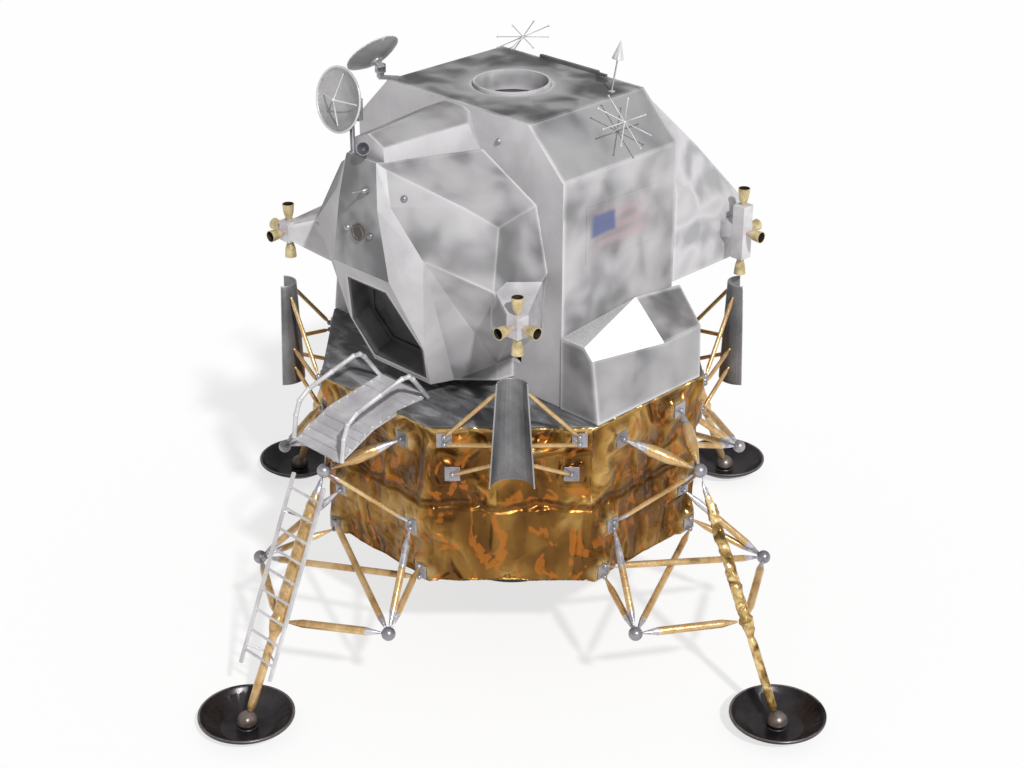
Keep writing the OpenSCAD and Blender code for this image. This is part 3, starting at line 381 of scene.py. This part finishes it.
CORNER = (1.113, 3.008, 1.214)
HALOS = [(0.48, 2.12, 3.06), (0.60, 2.12, 2.02), (0.735, 2.12, 1.48)]
BARE_ENDS = [(CORNER, 0.24), ((0.62, 2.30, 1.86), 0.30), ((0.0, 2.93, 2.68), 0.16),
             ((0.46, 2.30, 3.02), 0.14)]
FINISHES = {}
MAKERS = {
    "gold_foil": gold_foil,
    "grey_deck": deck_finish,
    "engine_metal": lambda: plain_metal(
        "engine metal", (0.16, 0.16, 0.165), (0.34, 0.34, 0.35), 0.8, 0.38),
    "nozzle": lambda: plain_metal("nozzle", (0.020, 0.020, 0.022), (0.06, 0.055, 0.055), 0.4, 0.5),
    "fitting_grey": lambda: plain_metal(
        "fitting grey", (0.20, 0.195, 0.215), (0.40, 0.39, 0.42), 0.6, 0.34, edge=0.006),
    "strut_gold": strut_wrap,
    "wrap_rough": lambda: strut_wrap("crumpled strut wrap", 1.0),
    "pad_dark": lambda: rimmed(
        "footpad", (0.018, 0.016, 0.018), (0.060, 0.054, 0.058), (0.30, 0.29, 0.29), 0.6, 0.32, 0.012),
    "pale_paint": lambda: plain_metal(
        "pale paint", (0.46, 0.445, 0.465), (0.66, 0.645, 0.66), 0.2, 0.40, edge=0.004),
    "deflector_grey": lambda: rimmed(
        "deflector", (0.10, 0.10, 0.105), (0.24, 0.235, 0.24), (0.55, 0.54, 0.55), 0.45, 0.40, 0.016),
    "silver_skin": silver_skin,
    "mid_skin": lambda: silver_skin("middle body skin", 0.21, 0.50, 0.10, 2.3, roof=True),
    "cheek_skin": lambda: silver_skin("cheek skin", 0.155, 0.40, 0.075, 5.1),
    # painted light: a lighter copy of the cheek skin for the cabin's down-facing faces
    "lower_skin": lambda: silver_skin("lower cheek skin", 0.27, 0.56, 0.075, 1.1),
    "bay_skin": lambda: silver_skin("aft bay skin", 0.36, 0.56, 0.09, 4.4),
    "tank_skin": lambda: silver_skin("tank cover skin", 0.17, 0.38, 0.09, 0.6),
    "strip_skin": lambda: plain_metal(
        "pale strip", (0.44, 0.427, 0.438), (0.56, 0.547, 0.558), 0.05, 0.62, scale=1.5),
    # painted highlight: the sun's glare on the tank cover's front top facet, as a near-white finish
    "painted_glare_skin": lambda: plain_metal(
        "bright facet", (0.80, 0.80, 0.80), (0.90, 0.90, 0.90), 0.0, 0.40, scale=1.5),
    "speckled_skin": speckled_finish,
    # painted shade: a darker copy of the skin for the tank cover's rear upward facets
    "dark_skin": lambda: silver_skin("dark clouded skin", 0.11, 0.36, 0.09, 3.7),
    "column_front": column_finish,
    "copper_ring": port_finish,
    # painted shade: near-black for the hatch recess's reveal and the lamp's well
    "painted_recess_shade": lambda: plain_metal(
        "hatch recess", (0.040, 0.039, 0.042), (0.085, 0.082, 0.085), 0.2, 0.5),
    # painted shade: the hatch leaf and its frame, which sit in the recess's shadow, get a near-black finish
    "hatch_dark": lambda: plain_metal(
        "hatch leaf", (0.036, 0.034, 0.036), (0.078, 0.074, 0.078), 0.2, 0.48),
    "thruster_tan": lambda: plain_metal(
        "thruster bell", (0.42, 0.33, 0.16), (0.70, 0.58, 0.34), 0.4, 0.38, scale=9),
    "bell_base": lambda: plain_metal(
        "thruster throat", (0.46, 0.33, 0.25), (0.62, 0.50, 0.44), 0.3, 0.42, scale=9),
    "bell_dark": lambda: plain_metal(
        "thruster bore", (0.020, 0.016, 0.012), (0.055, 0.045, 0.03), 0.3, 0.5, scale=9),
    "dish_grey": lambda: plain_metal(
        "dish", (0.30, 0.295, 0.30), (0.46, 0.45, 0.455), 0.35, 0.38, edge=0.010),
    "dish_rim": lambda: plain_metal("dish rim", (0.50, 0.49, 0.49), (0.68, 0.67, 0.67), 0.2, 0.36),
    "antenna_white": lambda: plain_metal("antenna", (0.50, 0.50, 0.50), (0.70, 0.69, 0.69), 0.2, 0.40),
    "boss_brown": lambda: plain_metal(
        "footpad boss", (0.11, 0.085, 0.075), (0.24, 0.20, 0.185), 0.5, 0.35, scale=6),
    "seam_dark": lambda: plain_metal("seam", (0.10, 0.10, 0.105), (0.20, 0.195, 0.20), 0.3, 0.5),
    "bolt_pale": lambda: plain_metal("bolt", (0.60, 0.60, 0.60), (0.80, 0.80, 0.80), 0.3, 0.34),
    "panel_faded": panel_finish,
}


def finish(name):
    """Builds a finish the first time it is asked for."""
    if name not in FINISHES:
        FINISHES[name] = MAKERS[name]()
    return FINISHES[name]


# ---------- making pieces ----------
def clear_choice():
    if bpy.context.object and bpy.context.object.mode != "OBJECT":
        bpy.ops.object.mode_set(mode="OBJECT")
    bpy.ops.object.select_all(action="DESELECT")


def choose(obj):
    clear_choice()
    obj.select_set(True)
    bpy.context.view_layer.objects.active = obj


def body_of(node):
    for body, members in frame["record"]["behaviour"]["bodies"].items():
        if node in members:
            return body
    raise RuntimeError("no body holds " + node)


def slot_of(node):
    for row in frame["record"]["subparts"]:
        if row["node"] == node:
            return row["material_slot"]
    raise RuntimeError("no slot for " + node)


def coat(obj, *materials):
    obj.data.materials.clear()
    for m in materials:
        obj.data.materials.append(m)


def set_down(obj, name, body, slot, *materials):
    """Names a finished piece, brings its place into its mesh and lets it ride on its body."""
    choose(obj)
    bpy.ops.object.transform_apply(location=True, rotation=True, scale=True)
    obj.name = name
    obj.data.name = name
    if materials:
        coat(obj, *materials)
    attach(obj, body)
    MADE[name] = obj
    return obj


def modify(obj, kind, **settings):
    """Adds one modifier and applies it."""
    choose(obj)
    m = obj.modifiers.new(kind.lower(), kind)
    for key, value in settings.items():
        setattr(m, key, value)
    bpy.ops.object.modifier_apply(modifier=m.name)


def copied(node, sharp=3.0):
    """A merged copy of a CAD node with its flats joined up again."""
    choose(NODES[node])
    bpy.ops.object.duplicate()
    obj = bpy.context.view_layer.objects.active
    bpy.ops.object.mode_set(mode="EDIT")
    bpy.ops.mesh.select_all(action="SELECT")
    bpy.ops.mesh.remove_doubles(threshold=0.0001)
    if sharp:
        bpy.ops.mesh.dissolve_limited(angle_limit=math.radians(sharp))
    bpy.ops.object.mode_set(mode="OBJECT")
    return obj


def repaint(obj, *rules):
    """Gives the faces that a rule picks their own material: each rule is (finish name, test)."""
    for name, test in rules:
        obj.data.materials.append(finish(name))
        slot = len(obj.data.materials) - 1
        for p in obj.data.polygons:
            if test(p.center, p.normal):
                p.material_index = slot


def dressed(node, name, material, bevel=0.0, segments=2, angle=30.0, sharp=3.0, rules=()):
    """A CAD node's shape with its edges rounded and its curves shaded smooth."""
    obj = copied(node, sharp)
    for p in obj.data.polygons:
        p.material_index = 0
    coat(obj, material)
    repaint(obj, *rules)
    if bevel:
        modify(obj, "BEVEL", width=bevel, segments=segments, limit_method="ANGLE",
               angle_limit=math.radians(28), use_clamp_overlap=True, harden_normals=False)
    choose(obj)
    bpy.ops.object.shade_smooth_by_angle(angle=math.radians(angle))
    set_down(obj, name, body_of(node), slot_of(node))
    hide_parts(node)
    return obj


def wrinkle(obj, kind, size, strength, level, group=None, **texture):
    """Pushes a mesh in or out by a solid pattern."""
    tex = bpy.data.textures.new(obj.name + " wrinkles", kind)
    tex.noise_scale = size
    for key, value in texture.items():
        setattr(tex, key, value)
    settings = dict(texture=tex, strength=strength, mid_level=level, texture_coords="GLOBAL")
    if group:
        settings["vertex_group"] = group
    modify(obj, "DISPLACE", **settings)


def weigh(obj, name, rule):
    """A vertex group whose weights come from each vertex's place."""
    group = obj.vertex_groups.new(name=name)
    for v in obj.data.vertices:
        group.add([v.index], rule(v.co), "REPLACE")
    return name


def eased(value, low, high):
    t = min(1.0, max(0.0, (value - low) / (high - low)))
    return t * t * (3 - 2 * t)


# ---------- sizes and colours ----------
class LanderSizes(bpy.types.PropertyGroup):
    """Sizes that shape the soft and small pieces."""
    foil_grain: FloatProperty(
        name="Foil grain", description="Edge length of the crumpled foil's mesh", default=0.036,
        min=0.02, max=0.08, unit="LENGTH")
    foil_depth: FloatProperty(
        name="Foil depth", description="How deep the foil's folds go", default=0.05, min=0.0,
        max=0.1, unit="LENGTH")
    wrap_depth: FloatProperty(
        name="Wrap depth", description="How deep the port strut's wrap is crumpled", default=0.030,
        min=0.0, max=0.06, unit="LENGTH")
    edge_round: FloatProperty(
        name="Panel edge", description="Rounding of the skins' edges", default=0.012, min=0.002,
        max=0.03, unit="LENGTH")


class LanderColours(bpy.types.PropertyGroup):
    """Colours of the stage."""
    floor: FloatVectorProperty(
        name="Floor", description="Colour of the floor", default=(0.92, 0.92, 0.92),
        subtype="COLOR", min=0, max=1)
    sky: FloatVectorProperty(
        name="Surroundings", description="Colour of the light all round", default=(1.0, 1.0, 1.0),
        subtype="COLOR", min=0, max=1)


def sizes():
    return bpy.context.scene.lander_sizes


def colours():
    return bpy.context.scene.lander_colours


# ---------- operators ----------
PLATES = [(0.48, 3.06), (0.60, 2.02), (0.735, 1.48)]
CORNER_PLATES = [(0.727, 3.201), (0.645, 2.789)]


def off_plates(co):
    """0 at a fitting's plate and 1 well away from all of them."""
    best = 1.0
    for quarter in range(8):
        a = math.radians(45 * quarter)
        x = co.x * math.cos(a) + co.y * math.sin(a)
        y = -co.x * math.sin(a) + co.y * math.cos(a)
        if y > -2.0:
            continue
        for px, pz in (PLATES if quarter % 2 == 0 else CORNER_PLATES):
            for s in (-1, 1):
                away = max(abs(x - s * px), abs(co.z - pz))
                best = min(best, eased(away, 0.085, 0.20))
    return best


class LANDER_OT_stage_foil(bpy.types.Operator):
    """Crumpled gold foil over the descent stage"""
    bl_idname = "lander.stage_foil"
    bl_label = "Descent stage foil"

    def execute(self, context):
        obj = copied("descent_stage")
        modify(obj, "REMESH", mode="VOXEL", voxel_size=sizes().foil_grain)
        low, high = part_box("descent_stage")
        foil = weigh(obj, "foil", lambda co: off_plates(co) * (0.0 if co.xy.length < 0.95 else 1.0)
                     * (0.0 if abs(co.x) < 0.45 and co.y < -1.6 and co.z > 3.15 else 1.0)
                     * (1.0 - eased(co.z, high[2] - 0.05, high[2] - 0.01)))
        depth = sizes().foil_depth
        wrinkle(obj, "CLOUDS", 0.50, depth * 1.5, 0.95, foil, noise_depth=1)
        wrinkle(obj, "VORONOI", 0.52, depth * 0.55, 0.9, foil, distance_metric="DISTANCE",
                weight_1=-1.0, weight_2=1.0)
        wrinkle(obj, "CLOUDS", 0.20, depth * 0.40, 0.8, foil, noise_depth=1)
        modify(obj, "SMOOTH", factor=0.5, iterations=3, vertex_group=foil)
        choose(obj)
        bpy.ops.object.shade_smooth()
        set_down(obj, "stage_foil", "lander", "gold_foil", finish("gold_foil"))
        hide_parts("descent_stage")
        return {"FINISHED"}


class LANDER_OT_strut_wraps(bpy.types.Operator):
    """Foil wraps on the four main struts, crumpled hardest on the port leg"""
    bl_idname = "lander.strut_wraps"
    bl_label = "Main strut wraps"

    def execute(self, context):
        obj = copied("gear_struts")
        modify(obj, "REMESH", mode="VOXEL", voxel_size=0.014)
        wrap = weigh(obj, "wrap", lambda co: (1.0 if co.x > abs(co.y) else 0.35) * eased(co.z, 0.9, 1.1))
        wrinkle(obj, "CLOUDS", 0.11, sizes().wrap_depth * 1.6, 0.75, wrap, noise_depth=2)
        wrinkle(obj, "VORONOI", 0.10, sizes().wrap_depth * 0.7, 0.7, wrap, weight_1=-1.0, weight_2=1.0)
        choose(obj)
        bpy.ops.object.shade_smooth()
        coat(obj, finish("strut_gold"))
        repaint(obj, ("wrap_rough", lambda c, n: c.x > abs(c.y)))
        set_down(obj, "strut_wraps", "lander", "strut_gold")
        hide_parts("gear_struts")
        return {"FINISHED"}


class LANDER_OT_skins(bpy.types.Operator):
    """Silver skins of the ascent stage with softened edges"""
    bl_idname = "lander.skins"
    bl_label = "Ascent stage skins"

    def execute(self, context):
        edge = sizes().edge_round
        dressed("mid_section", "mid_skin", finish("mid_skin"), edge, angle=25, rules=(
            ("strip_skin", lambda c, n: n.y < -0.9),))
        dressed("cabin", "cabin_skin", finish("cheek_skin"), edge * 0.6, angle=18, sharp=1.0, rules=(
            # painted light: the down-facing faces take the lighter lower skin
            ("lower_skin", lambda c, n: n.z < -0.2), ("strip_skin", in_strip), ("column_front", in_column),
            # painted shade on the reveal faces of the hatch recess
            ("painted_recess_shade", in_recess)))
        dressed("cabin_roof_box", "cabin_roof_box_skin", finish("strip_skin"), edge, angle=25, rules=(
            ("cheek_skin", lambda c, n: n.z > 0.75),))
        for node in ("port_tank_cover", "starboard_tank_cover"):
            dressed(node, node + "_skin", finish("tank_skin"), edge, angle=25, rules=(
                ("speckled_skin", lambda c, n: n.z > 0.98),
                # painted highlight: sun glare on the front top facet
                ("painted_glare_skin", lambda c, n: 0.6 < n.z < 0.9 and c.y < 0.05),
                # painted shade on the rear upward facets
                ("dark_skin", lambda c, n: n.z > 0.6 and c.y > 0.1)))
        dressed("aft_bay", "aft_bay_skin", finish("bay_skin"), edge, angle=25)
        dressed("roof_box", "roof_box_skin", finish("seam_dark"), 0.004, angle=25)
        return {"FINISHED"}


class LANDER_OT_round_parts(bpy.types.Operator):
    """Rods, balls, bells and dishes with smooth curves and small rounded edges"""
    bl_idname = "lander.round_parts"
    bl_label = "Rods, balls and dishes"

    def execute(self, context):
        for node, bevel in ROUND_PARTS:
            look = finish(LOOKS.get(node, slot_of(node)))
            dressed(node, node + "_dressed", look, bevel, segments=1, angle=32, sharp=0.5,
                    rules=PAINTED.get(node, ()))
        return {"FINISHED"}


HUB_X, HUB_FRONT, HUB_AFT, HUB_Z = 1.835, -1.755, 1.870, 4.720
LEG_REACH = 4.16


def from_hub(c):
    """The way to a place from the middle of its thruster group, folded on to the port side."""
    return Vector((abs(c.x) - HUB_X, c.y - (HUB_FRONT if c.y < 0 else HUB_AFT), c.z - HUB_Z))


def on_pad_boss(c, n):
    """Picks the raised middle of a footpad."""
    near, far = sorted((abs(c.x), abs(c.y)))
    return c.z > 0.075 and math.hypot(near, far - LEG_REACH) < 0.19


def looks_at_quad(c, n):
    """Picks the faces inside a bell: each looks at its own bell's middle line."""
    off = from_hub(c)
    side = Vector((n.x * (1 if c.x > 0 else -1), n.y, n.z))
    along = max(range(3), key=lambda i: abs(off[i]))
    off[along] = 0.0
    side[along] = 0.0
    return side.dot(off) < -0.004


LOOKS = {"radar_mast": "fitting_grey", "radar_yoke": "fitting_grey", "comm_yoke": "fitting_grey",
         # the hatch frame takes the hatch's painted shade
         "hatch_frame": "hatch_dark", "comm_mast": "fitting_grey"}
RADAR = Matrix.Translation((-0.232, -2.075, 6.722)) @ Matrix.Rotation(math.radians(78.5), 4, "X")
COMM = (Matrix.Translation((-1.160, -0.895, 6.607)) @ Matrix.Rotation(math.radians(178.5), 4, "Z")
        @ Matrix.Rotation(math.radians(46), 4, "Y"))


def stands_off(place, back, depth, radius):
    """Picks what stands clear of a dish's bowl: its stays and its feed."""
    inward = place.inverted()

    def test(c, n):
        p = inward @ c
        return p.z > back + depth * (p.xy.length / radius) ** 2 + 0.026
    return test


PAINTED = {
    "radar_dish": (("bolt_pale", stands_off(RADAR, 0.100, 0.105, 0.345)),),
    "comm_dish": (("bolt_pale", stands_off(COMM, 0.072, 0.100, 0.320)),),
    "footpads": (("boss_brown", on_pad_boss),),
    "thrusters": (("bell_base", lambda c, n: from_hub(c).length < 0.165),
                  ("bell_dark", looks_at_quad)),
    "cabin_lamps": (("copper_ring", lambda c, n: abs(c.x + 0.005) < 0.10 and c.y < -2.19 and 5.25 < c.z < 5.48
                     and (n.y < -0.5 or c.z > 0)),
                    # painted shade in the lamp's well
                    ("painted_recess_shade", lambda c, n: math.hypot(c.x + 0.005, c.z - 5.370) < 0.066
                     and c.y < -2.16)),
    "thruster_booms": (("silver_skin", lambda c, n: abs(c.x) < 1.60),),
}


def in_column(c, n):
    """The front column above the hatch: faces that look forward, close to the middle."""
    return abs(c.x) < 0.30 and n.y < -0.5 and abs(n.x) < 0.22 and c.z > 4.75


def in_strip(c, n):
    """The plain facets that frame the column and the hatch."""
    if abs(n.x) < 0.22 or n.y > 0.02:
        return False
    if c.z > 4.9:
        return abs(c.x) < 0.57 and c.y < -2.10
    return c.y < -1.60 and 0.40 < abs(c.x) < 0.70


def in_recess(c, n):
    """The reveal behind the hatch's outline, and the face it is cut in."""
    return c.z < 4.95 and abs(c.x) < 0.56 and -2.12 < c.y < -1.35 and n.x * c.x < -0.2 and n.x < 0.3


ROUND_PARTS = [
    ("gear_braces", 0), ("gear_balls", 0), ("footpads", 0.004), ("handrails", 0), ("ladder", 0.002),
    ("strut_fittings", 0.003), ("plume_deflectors", 0.002), ("deflector_struts", 0), ("docking_ring", 0.006),
    ("engine_nozzle", 0), ("engine_block", 0.01), ("gimbal_ring", 0.004), ("gimbal_pivots", 0.004),
    ("thrusters", 0), ("thruster_booms", 0.008), ("radar_mast", 0.003), ("radar_yoke", 0.002),
    ("radar_dish", 0), ("comm_mast", 0.003), ("comm_yoke", 0.002), ("comm_dish", 0),
    ("star_antennas", 0), ("probe_antenna", 0),
    ("cabin_lamps", 0.002), ("porch", 0.003), ("hatch_frame", 0.004), ("forward_hatch", 0.004),
    ("overhead_hatch", 0.003), ("stage_deck", 0.002),
]


def turned(rings, count=48):
    """A turned skin: a circle pushed along z and resized, ring by ring, from (radius, height) pairs."""
    clear_choice()
    radius, height = rings[0]
    bpy.ops.mesh.primitive_circle_add(vertices=count, radius=radius, location=(0, 0, 0))
    obj = bpy.context.object
    bpy.ops.object.mode_set(mode="EDIT")
    bpy.ops.mesh.select_all(action="SELECT")
    bpy.ops.transform.translate(value=(0, 0, height))
    for r, z in rings[1:]:
        bpy.ops.mesh.extrude_region_move(TRANSFORM_OT_translate={"value": (0, 0, z - height)})
        bpy.ops.transform.resize(value=(r / radius, r / radius, 1), center_override=(0, 0, 0))
        radius, height = r, z
    bpy.ops.mesh.select_all(action="SELECT")
    bpy.ops.mesh.normals_make_consistent(inside=False)
    bpy.ops.object.mode_set(mode="OBJECT")
    return obj


def joined(pieces):
    """Joins pieces into the first one."""
    clear_choice()
    for p in pieces:
        p.select_set(True)
    bpy.context.view_layer.objects.active = pieces[0]
    bpy.ops.object.join()
    return pieces[0]


def placed(obj, matrix):
    obj.matrix_world = matrix
    choose(obj)
    bpy.ops.object.transform_apply(location=True, rotation=True, scale=True)
    return obj


def twin(obj, matrix):
    """A copy with its own mesh, put in its place."""
    choose(obj)
    bpy.ops.object.duplicate()
    return placed(bpy.context.view_layer.objects.active, matrix)


class LANDER_OT_dish_lips(bpy.types.Operator):
    """Rolled lips round the two dishes"""
    bl_idname = "lander.dish_lips"
    bl_label = "Dish lips"

    def execute(self, context):
        for name, node, radius, height, place in (("radar_lip", "radar_dish", 0.345, 0.205, RADAR),
                                                  ("comm_lip", "comm_dish", 0.320, 0.172, COMM)):
            t = 0.011
            rings = [(radius - t + t * math.cos(a), height + 0.006 + t * math.sin(a))
                     for a in [math.radians(30 * i) for i in range(13)]]
            lip = turned(rings, 64)
            choose(lip)
            bpy.ops.object.mode_set(mode="EDIT")
            bpy.ops.mesh.select_all(action="SELECT")
            bpy.ops.mesh.remove_doubles(threshold=0.0002)
            bpy.ops.mesh.normals_make_consistent(inside=False)
            bpy.ops.object.mode_set(mode="OBJECT")
            placed(lip, place)
            bpy.ops.object.shade_smooth()
            set_down(lip, name, body_of(node), slot_of(node), finish("dish_rim"))
        return {"FINISHED"}


PORCH_LINE = ((-1.7025, 3.387), (-2.4805, 3.262), (-2.9685, 3.032))
PLANKS = 11
BOLT_X = 0.345


class LANDER_OT_porch_bolts(bpy.types.Operator):
    """Bolts at both ends of the porch's planks"""
    bl_idname = "lander.porch_bolts"
    bl_label = "Porch bolts"

    def execute(self, context):
        bolt = turned([(0.0135, -0.004), (0.0135, 0.006), (0.010, 0.011), (0.001, 0.0125)], 12)
        back, knee, front = (Vector((0, y, z)) for y, z in PORCH_LINE)
        upper, lower = (knee - back).length, (front - knee).length
        bolts = []
        for i in range(PLANKS):
            run = (upper + lower) * (i + 0.5) / PLANKS
            if run < upper:
                a, b, share = back, knee, run / upper
            else:
                a, b, share = knee, front, (run - upper) / lower
            at = a.lerp(b, share)
            tilt = Matrix.Rotation(math.atan2(a.z - b.z, a.y - b.y), 4, "X")
            for side in (-BOLT_X, BOLT_X):
                bolts.append(twin(bolt, Matrix.Translation((side, at.y, at.z)) @ tilt))
        bpy.data.objects.remove(bolt)
        whole = joined(bolts)
        bpy.ops.object.shade_smooth_by_angle(angle=math.radians(40))
        set_down(whole, "porch_bolts", body_of("porch"), slot_of("porch"), finish("bolt_pale"))
        return {"FINISHED"}


class LANDER_OT_nozzle_bands(bpy.types.Operator):
    """Stiffening bands round the engine's bell"""
    bl_idname = "lander.nozzle_bands"
    bl_label = "Nozzle bands"

    def execute(self, context):
        reach = {}
        for v in NODES["engine_nozzle"].data.vertices:
            key = round(v.co.z, 2)
            reach[key] = max(reach.get(key, 0), v.co.xy.length)
        heights = sorted(reach)

        def radius(z):
            below = max(h for h in heights if h <= z)
            above = min(h for h in heights if h >= z)
            share = 0 if above == below else (z - below) / (above - below)
            return reach[below] * (1 - share) + reach[above] * share

        bands = []
        for z in (0.52, 0.78, 1.04, 1.30, 1.56):
            half = 0.014
            bands.append(turned([(radius(z - half) - 0.003, z - half), (radius(z) + 0.010, z - half),
                                 (radius(z) + 0.010, z + half), (radius(z + half) - 0.003, z + half)], 72))
        whole = joined(bands)
        modify(whole, "BEVEL", width=0.003, segments=2, limit_method="ANGLE")
        bpy.ops.object.shade_smooth_by_angle(angle=math.radians(40))
        set_down(whole, "nozzle_bands", body_of("engine_nozzle"), slot_of("engine_nozzle"),
                 finish("engine_metal"))
        return {"FINISHED"}


class LANDER_OT_plain_nodes(bpy.types.Operator):
    """Finishes on the CAD nodes that stay as they are"""
    bl_idname = "lander.plain_nodes"
    bl_label = "Finishes on the frame"

    def execute(self, context):
        for name, node in NODES.items():
            for i in range(len(node.material_slots)):
                node.material_slots[i].material = finish(slot_of(name))
        return {"FINISHED"}


FLOOR_WIDTH = 240
FLOOR_GLOW = 0.72
SKY_STRENGTH = 0.42
SUN_STRENGTH = 3.0
SUN_SOFTNESS = math.radians(3)
SUN_AZIMUTH, SUN_HEIGHT = math.radians(66), math.radians(42)
LENS, SENSOR_WIDTH = 67.25, 36
CAMERA_TARGET = Vector((0, 0, 2.782))
CAMERA_WAY = Vector((0.6319, -0.6319, 0.4488)).normalized()
CAMERA_DISTANCE = 22.646


class LANDER_OT_stage_set(bpy.types.Operator):
    """Pale floor, level light and the camera"""
    bl_idname = "lander.stage_set"
    bl_label = "Floor, light and camera"

    def execute(self, context):
        clear_choice()
        bpy.ops.mesh.primitive_plane_add(size=FLOOR_WIDTH, location=(0, 0, 0))
        floor = bpy.context.object
        floor.name = "floor"
        f = Finish("pale floor")
        lit = f.add("ShaderNodeBsdfDiffuse", {}, {"Color": (*colours().floor, 1)})
        glow = f.add("ShaderNodeEmission", {}, {"Color": (1, 1, 1, 1), "Strength": 1.0})
        path = f.tree.nodes.new("ShaderNodeLightPath")
        seen = Wire(f, path.outputs["Is Camera Ray"]) + Wire(f, path.outputs["Is Glossy Ray"]) * 0.5
        both = f.add("ShaderNodeMixShader", {}, {0: seen * FLOOR_GLOW, 1: lit, 2: glow})
        f.tree.links.new(both.socket, f.out.inputs[0])
        floor.data.materials.append(f.material)

        world = bpy.data.worlds.new("surroundings")
        context.scene.world = world
        world.use_nodes = True
        tree = world.node_tree
        tree.nodes.clear()
        out = tree.nodes.new("ShaderNodeOutputWorld")
        back = tree.nodes.new("ShaderNodeBackground")
        path = tree.nodes.new("ShaderNodeLightPath")
        mix = tree.nodes.new("ShaderNodeMixShader")
        white = tree.nodes.new("ShaderNodeBackground")
        back.inputs[0].default_value = (*colours().sky, 1)
        back.inputs[1].default_value = SKY_STRENGTH
        white.inputs[0].default_value = (1, 1, 1, 1)
        tree.links.new(path.outputs["Is Camera Ray"], mix.inputs[0])
        tree.links.new(back.outputs[0], mix.inputs[1])
        tree.links.new(white.outputs[0], mix.inputs[2])
        tree.links.new(mix.outputs[0], out.inputs[0])

        clear_choice()
        bpy.ops.object.light_add(type="SUN", location=(0, 0, 20))
        key = bpy.context.object
        key.name = "key light"
        key.data.energy = SUN_STRENGTH
        key.data.angle = SUN_SOFTNESS
        level = math.cos(SUN_HEIGHT)
        toward = Vector((math.sin(SUN_AZIMUTH) * level, -math.cos(SUN_AZIMUTH) * level, math.sin(SUN_HEIGHT)))
        key.rotation_euler = toward.to_track_quat("Z", "Y").to_euler()

        camera_data = bpy.data.cameras.new("camera")
        camera_data.lens = LENS
        camera_data.sensor_width = SENSOR_WIDTH
        camera_data.clip_end = 400
        camera = bpy.data.objects.new("camera", camera_data)
        context.scene.collection.objects.link(camera)
        camera.location = CAMERA_TARGET + CAMERA_WAY * CAMERA_DISTANCE
        camera.rotation_euler = CAMERA_WAY.to_track_quat("Z", "Y").to_euler()
        context.scene.camera = camera
        context.scene.view_settings.view_transform = "Standard"
        return {"FINISHED"}


class LANDER_PT_panel(bpy.types.Panel):
    """Lists the lander's operators"""
    bl_label = "Lunar lander"
    bl_idname = "LANDER_PT_panel"
    bl_space_type = "VIEW_3D"
    bl_region_type = "UI"
    bl_category = "Lander"

    def draw(self, context):
        for group in (context.scene.lander_sizes, context.scene.lander_colours):
            for key in group.__annotations__:
                self.layout.prop(group, key)
        for step in STEPS:
            self.layout.operator(step.bl_idname)


STEPS = [LANDER_OT_plain_nodes, LANDER_OT_stage_foil, LANDER_OT_strut_wraps, LANDER_OT_skins,
         LANDER_OT_round_parts, LANDER_OT_dish_lips, LANDER_OT_porch_bolts, LANDER_OT_nozzle_bands,
         LANDER_OT_stage_set]
CLASSES = [LanderSizes, LanderColours, *STEPS, LANDER_PT_panel]


def register():
    for c in CLASSES:
        bpy.utils.register_class(c)
    bpy.types.Scene.lander_sizes = PointerProperty(type=LanderSizes)
    bpy.types.Scene.lander_colours = PointerProperty(type=LanderColours)


def unregister():
    del bpy.types.Scene.lander_colours
    del bpy.types.Scene.lander_sizes
    for c in reversed(CLASSES):
        bpy.utils.unregister_class(c)


def main():
    register()
    for step in STEPS:
        group, name = step.bl_idname.split(".")
        getattr(getattr(bpy.ops, group), name)()


if __name__ == "__main__":
    main()
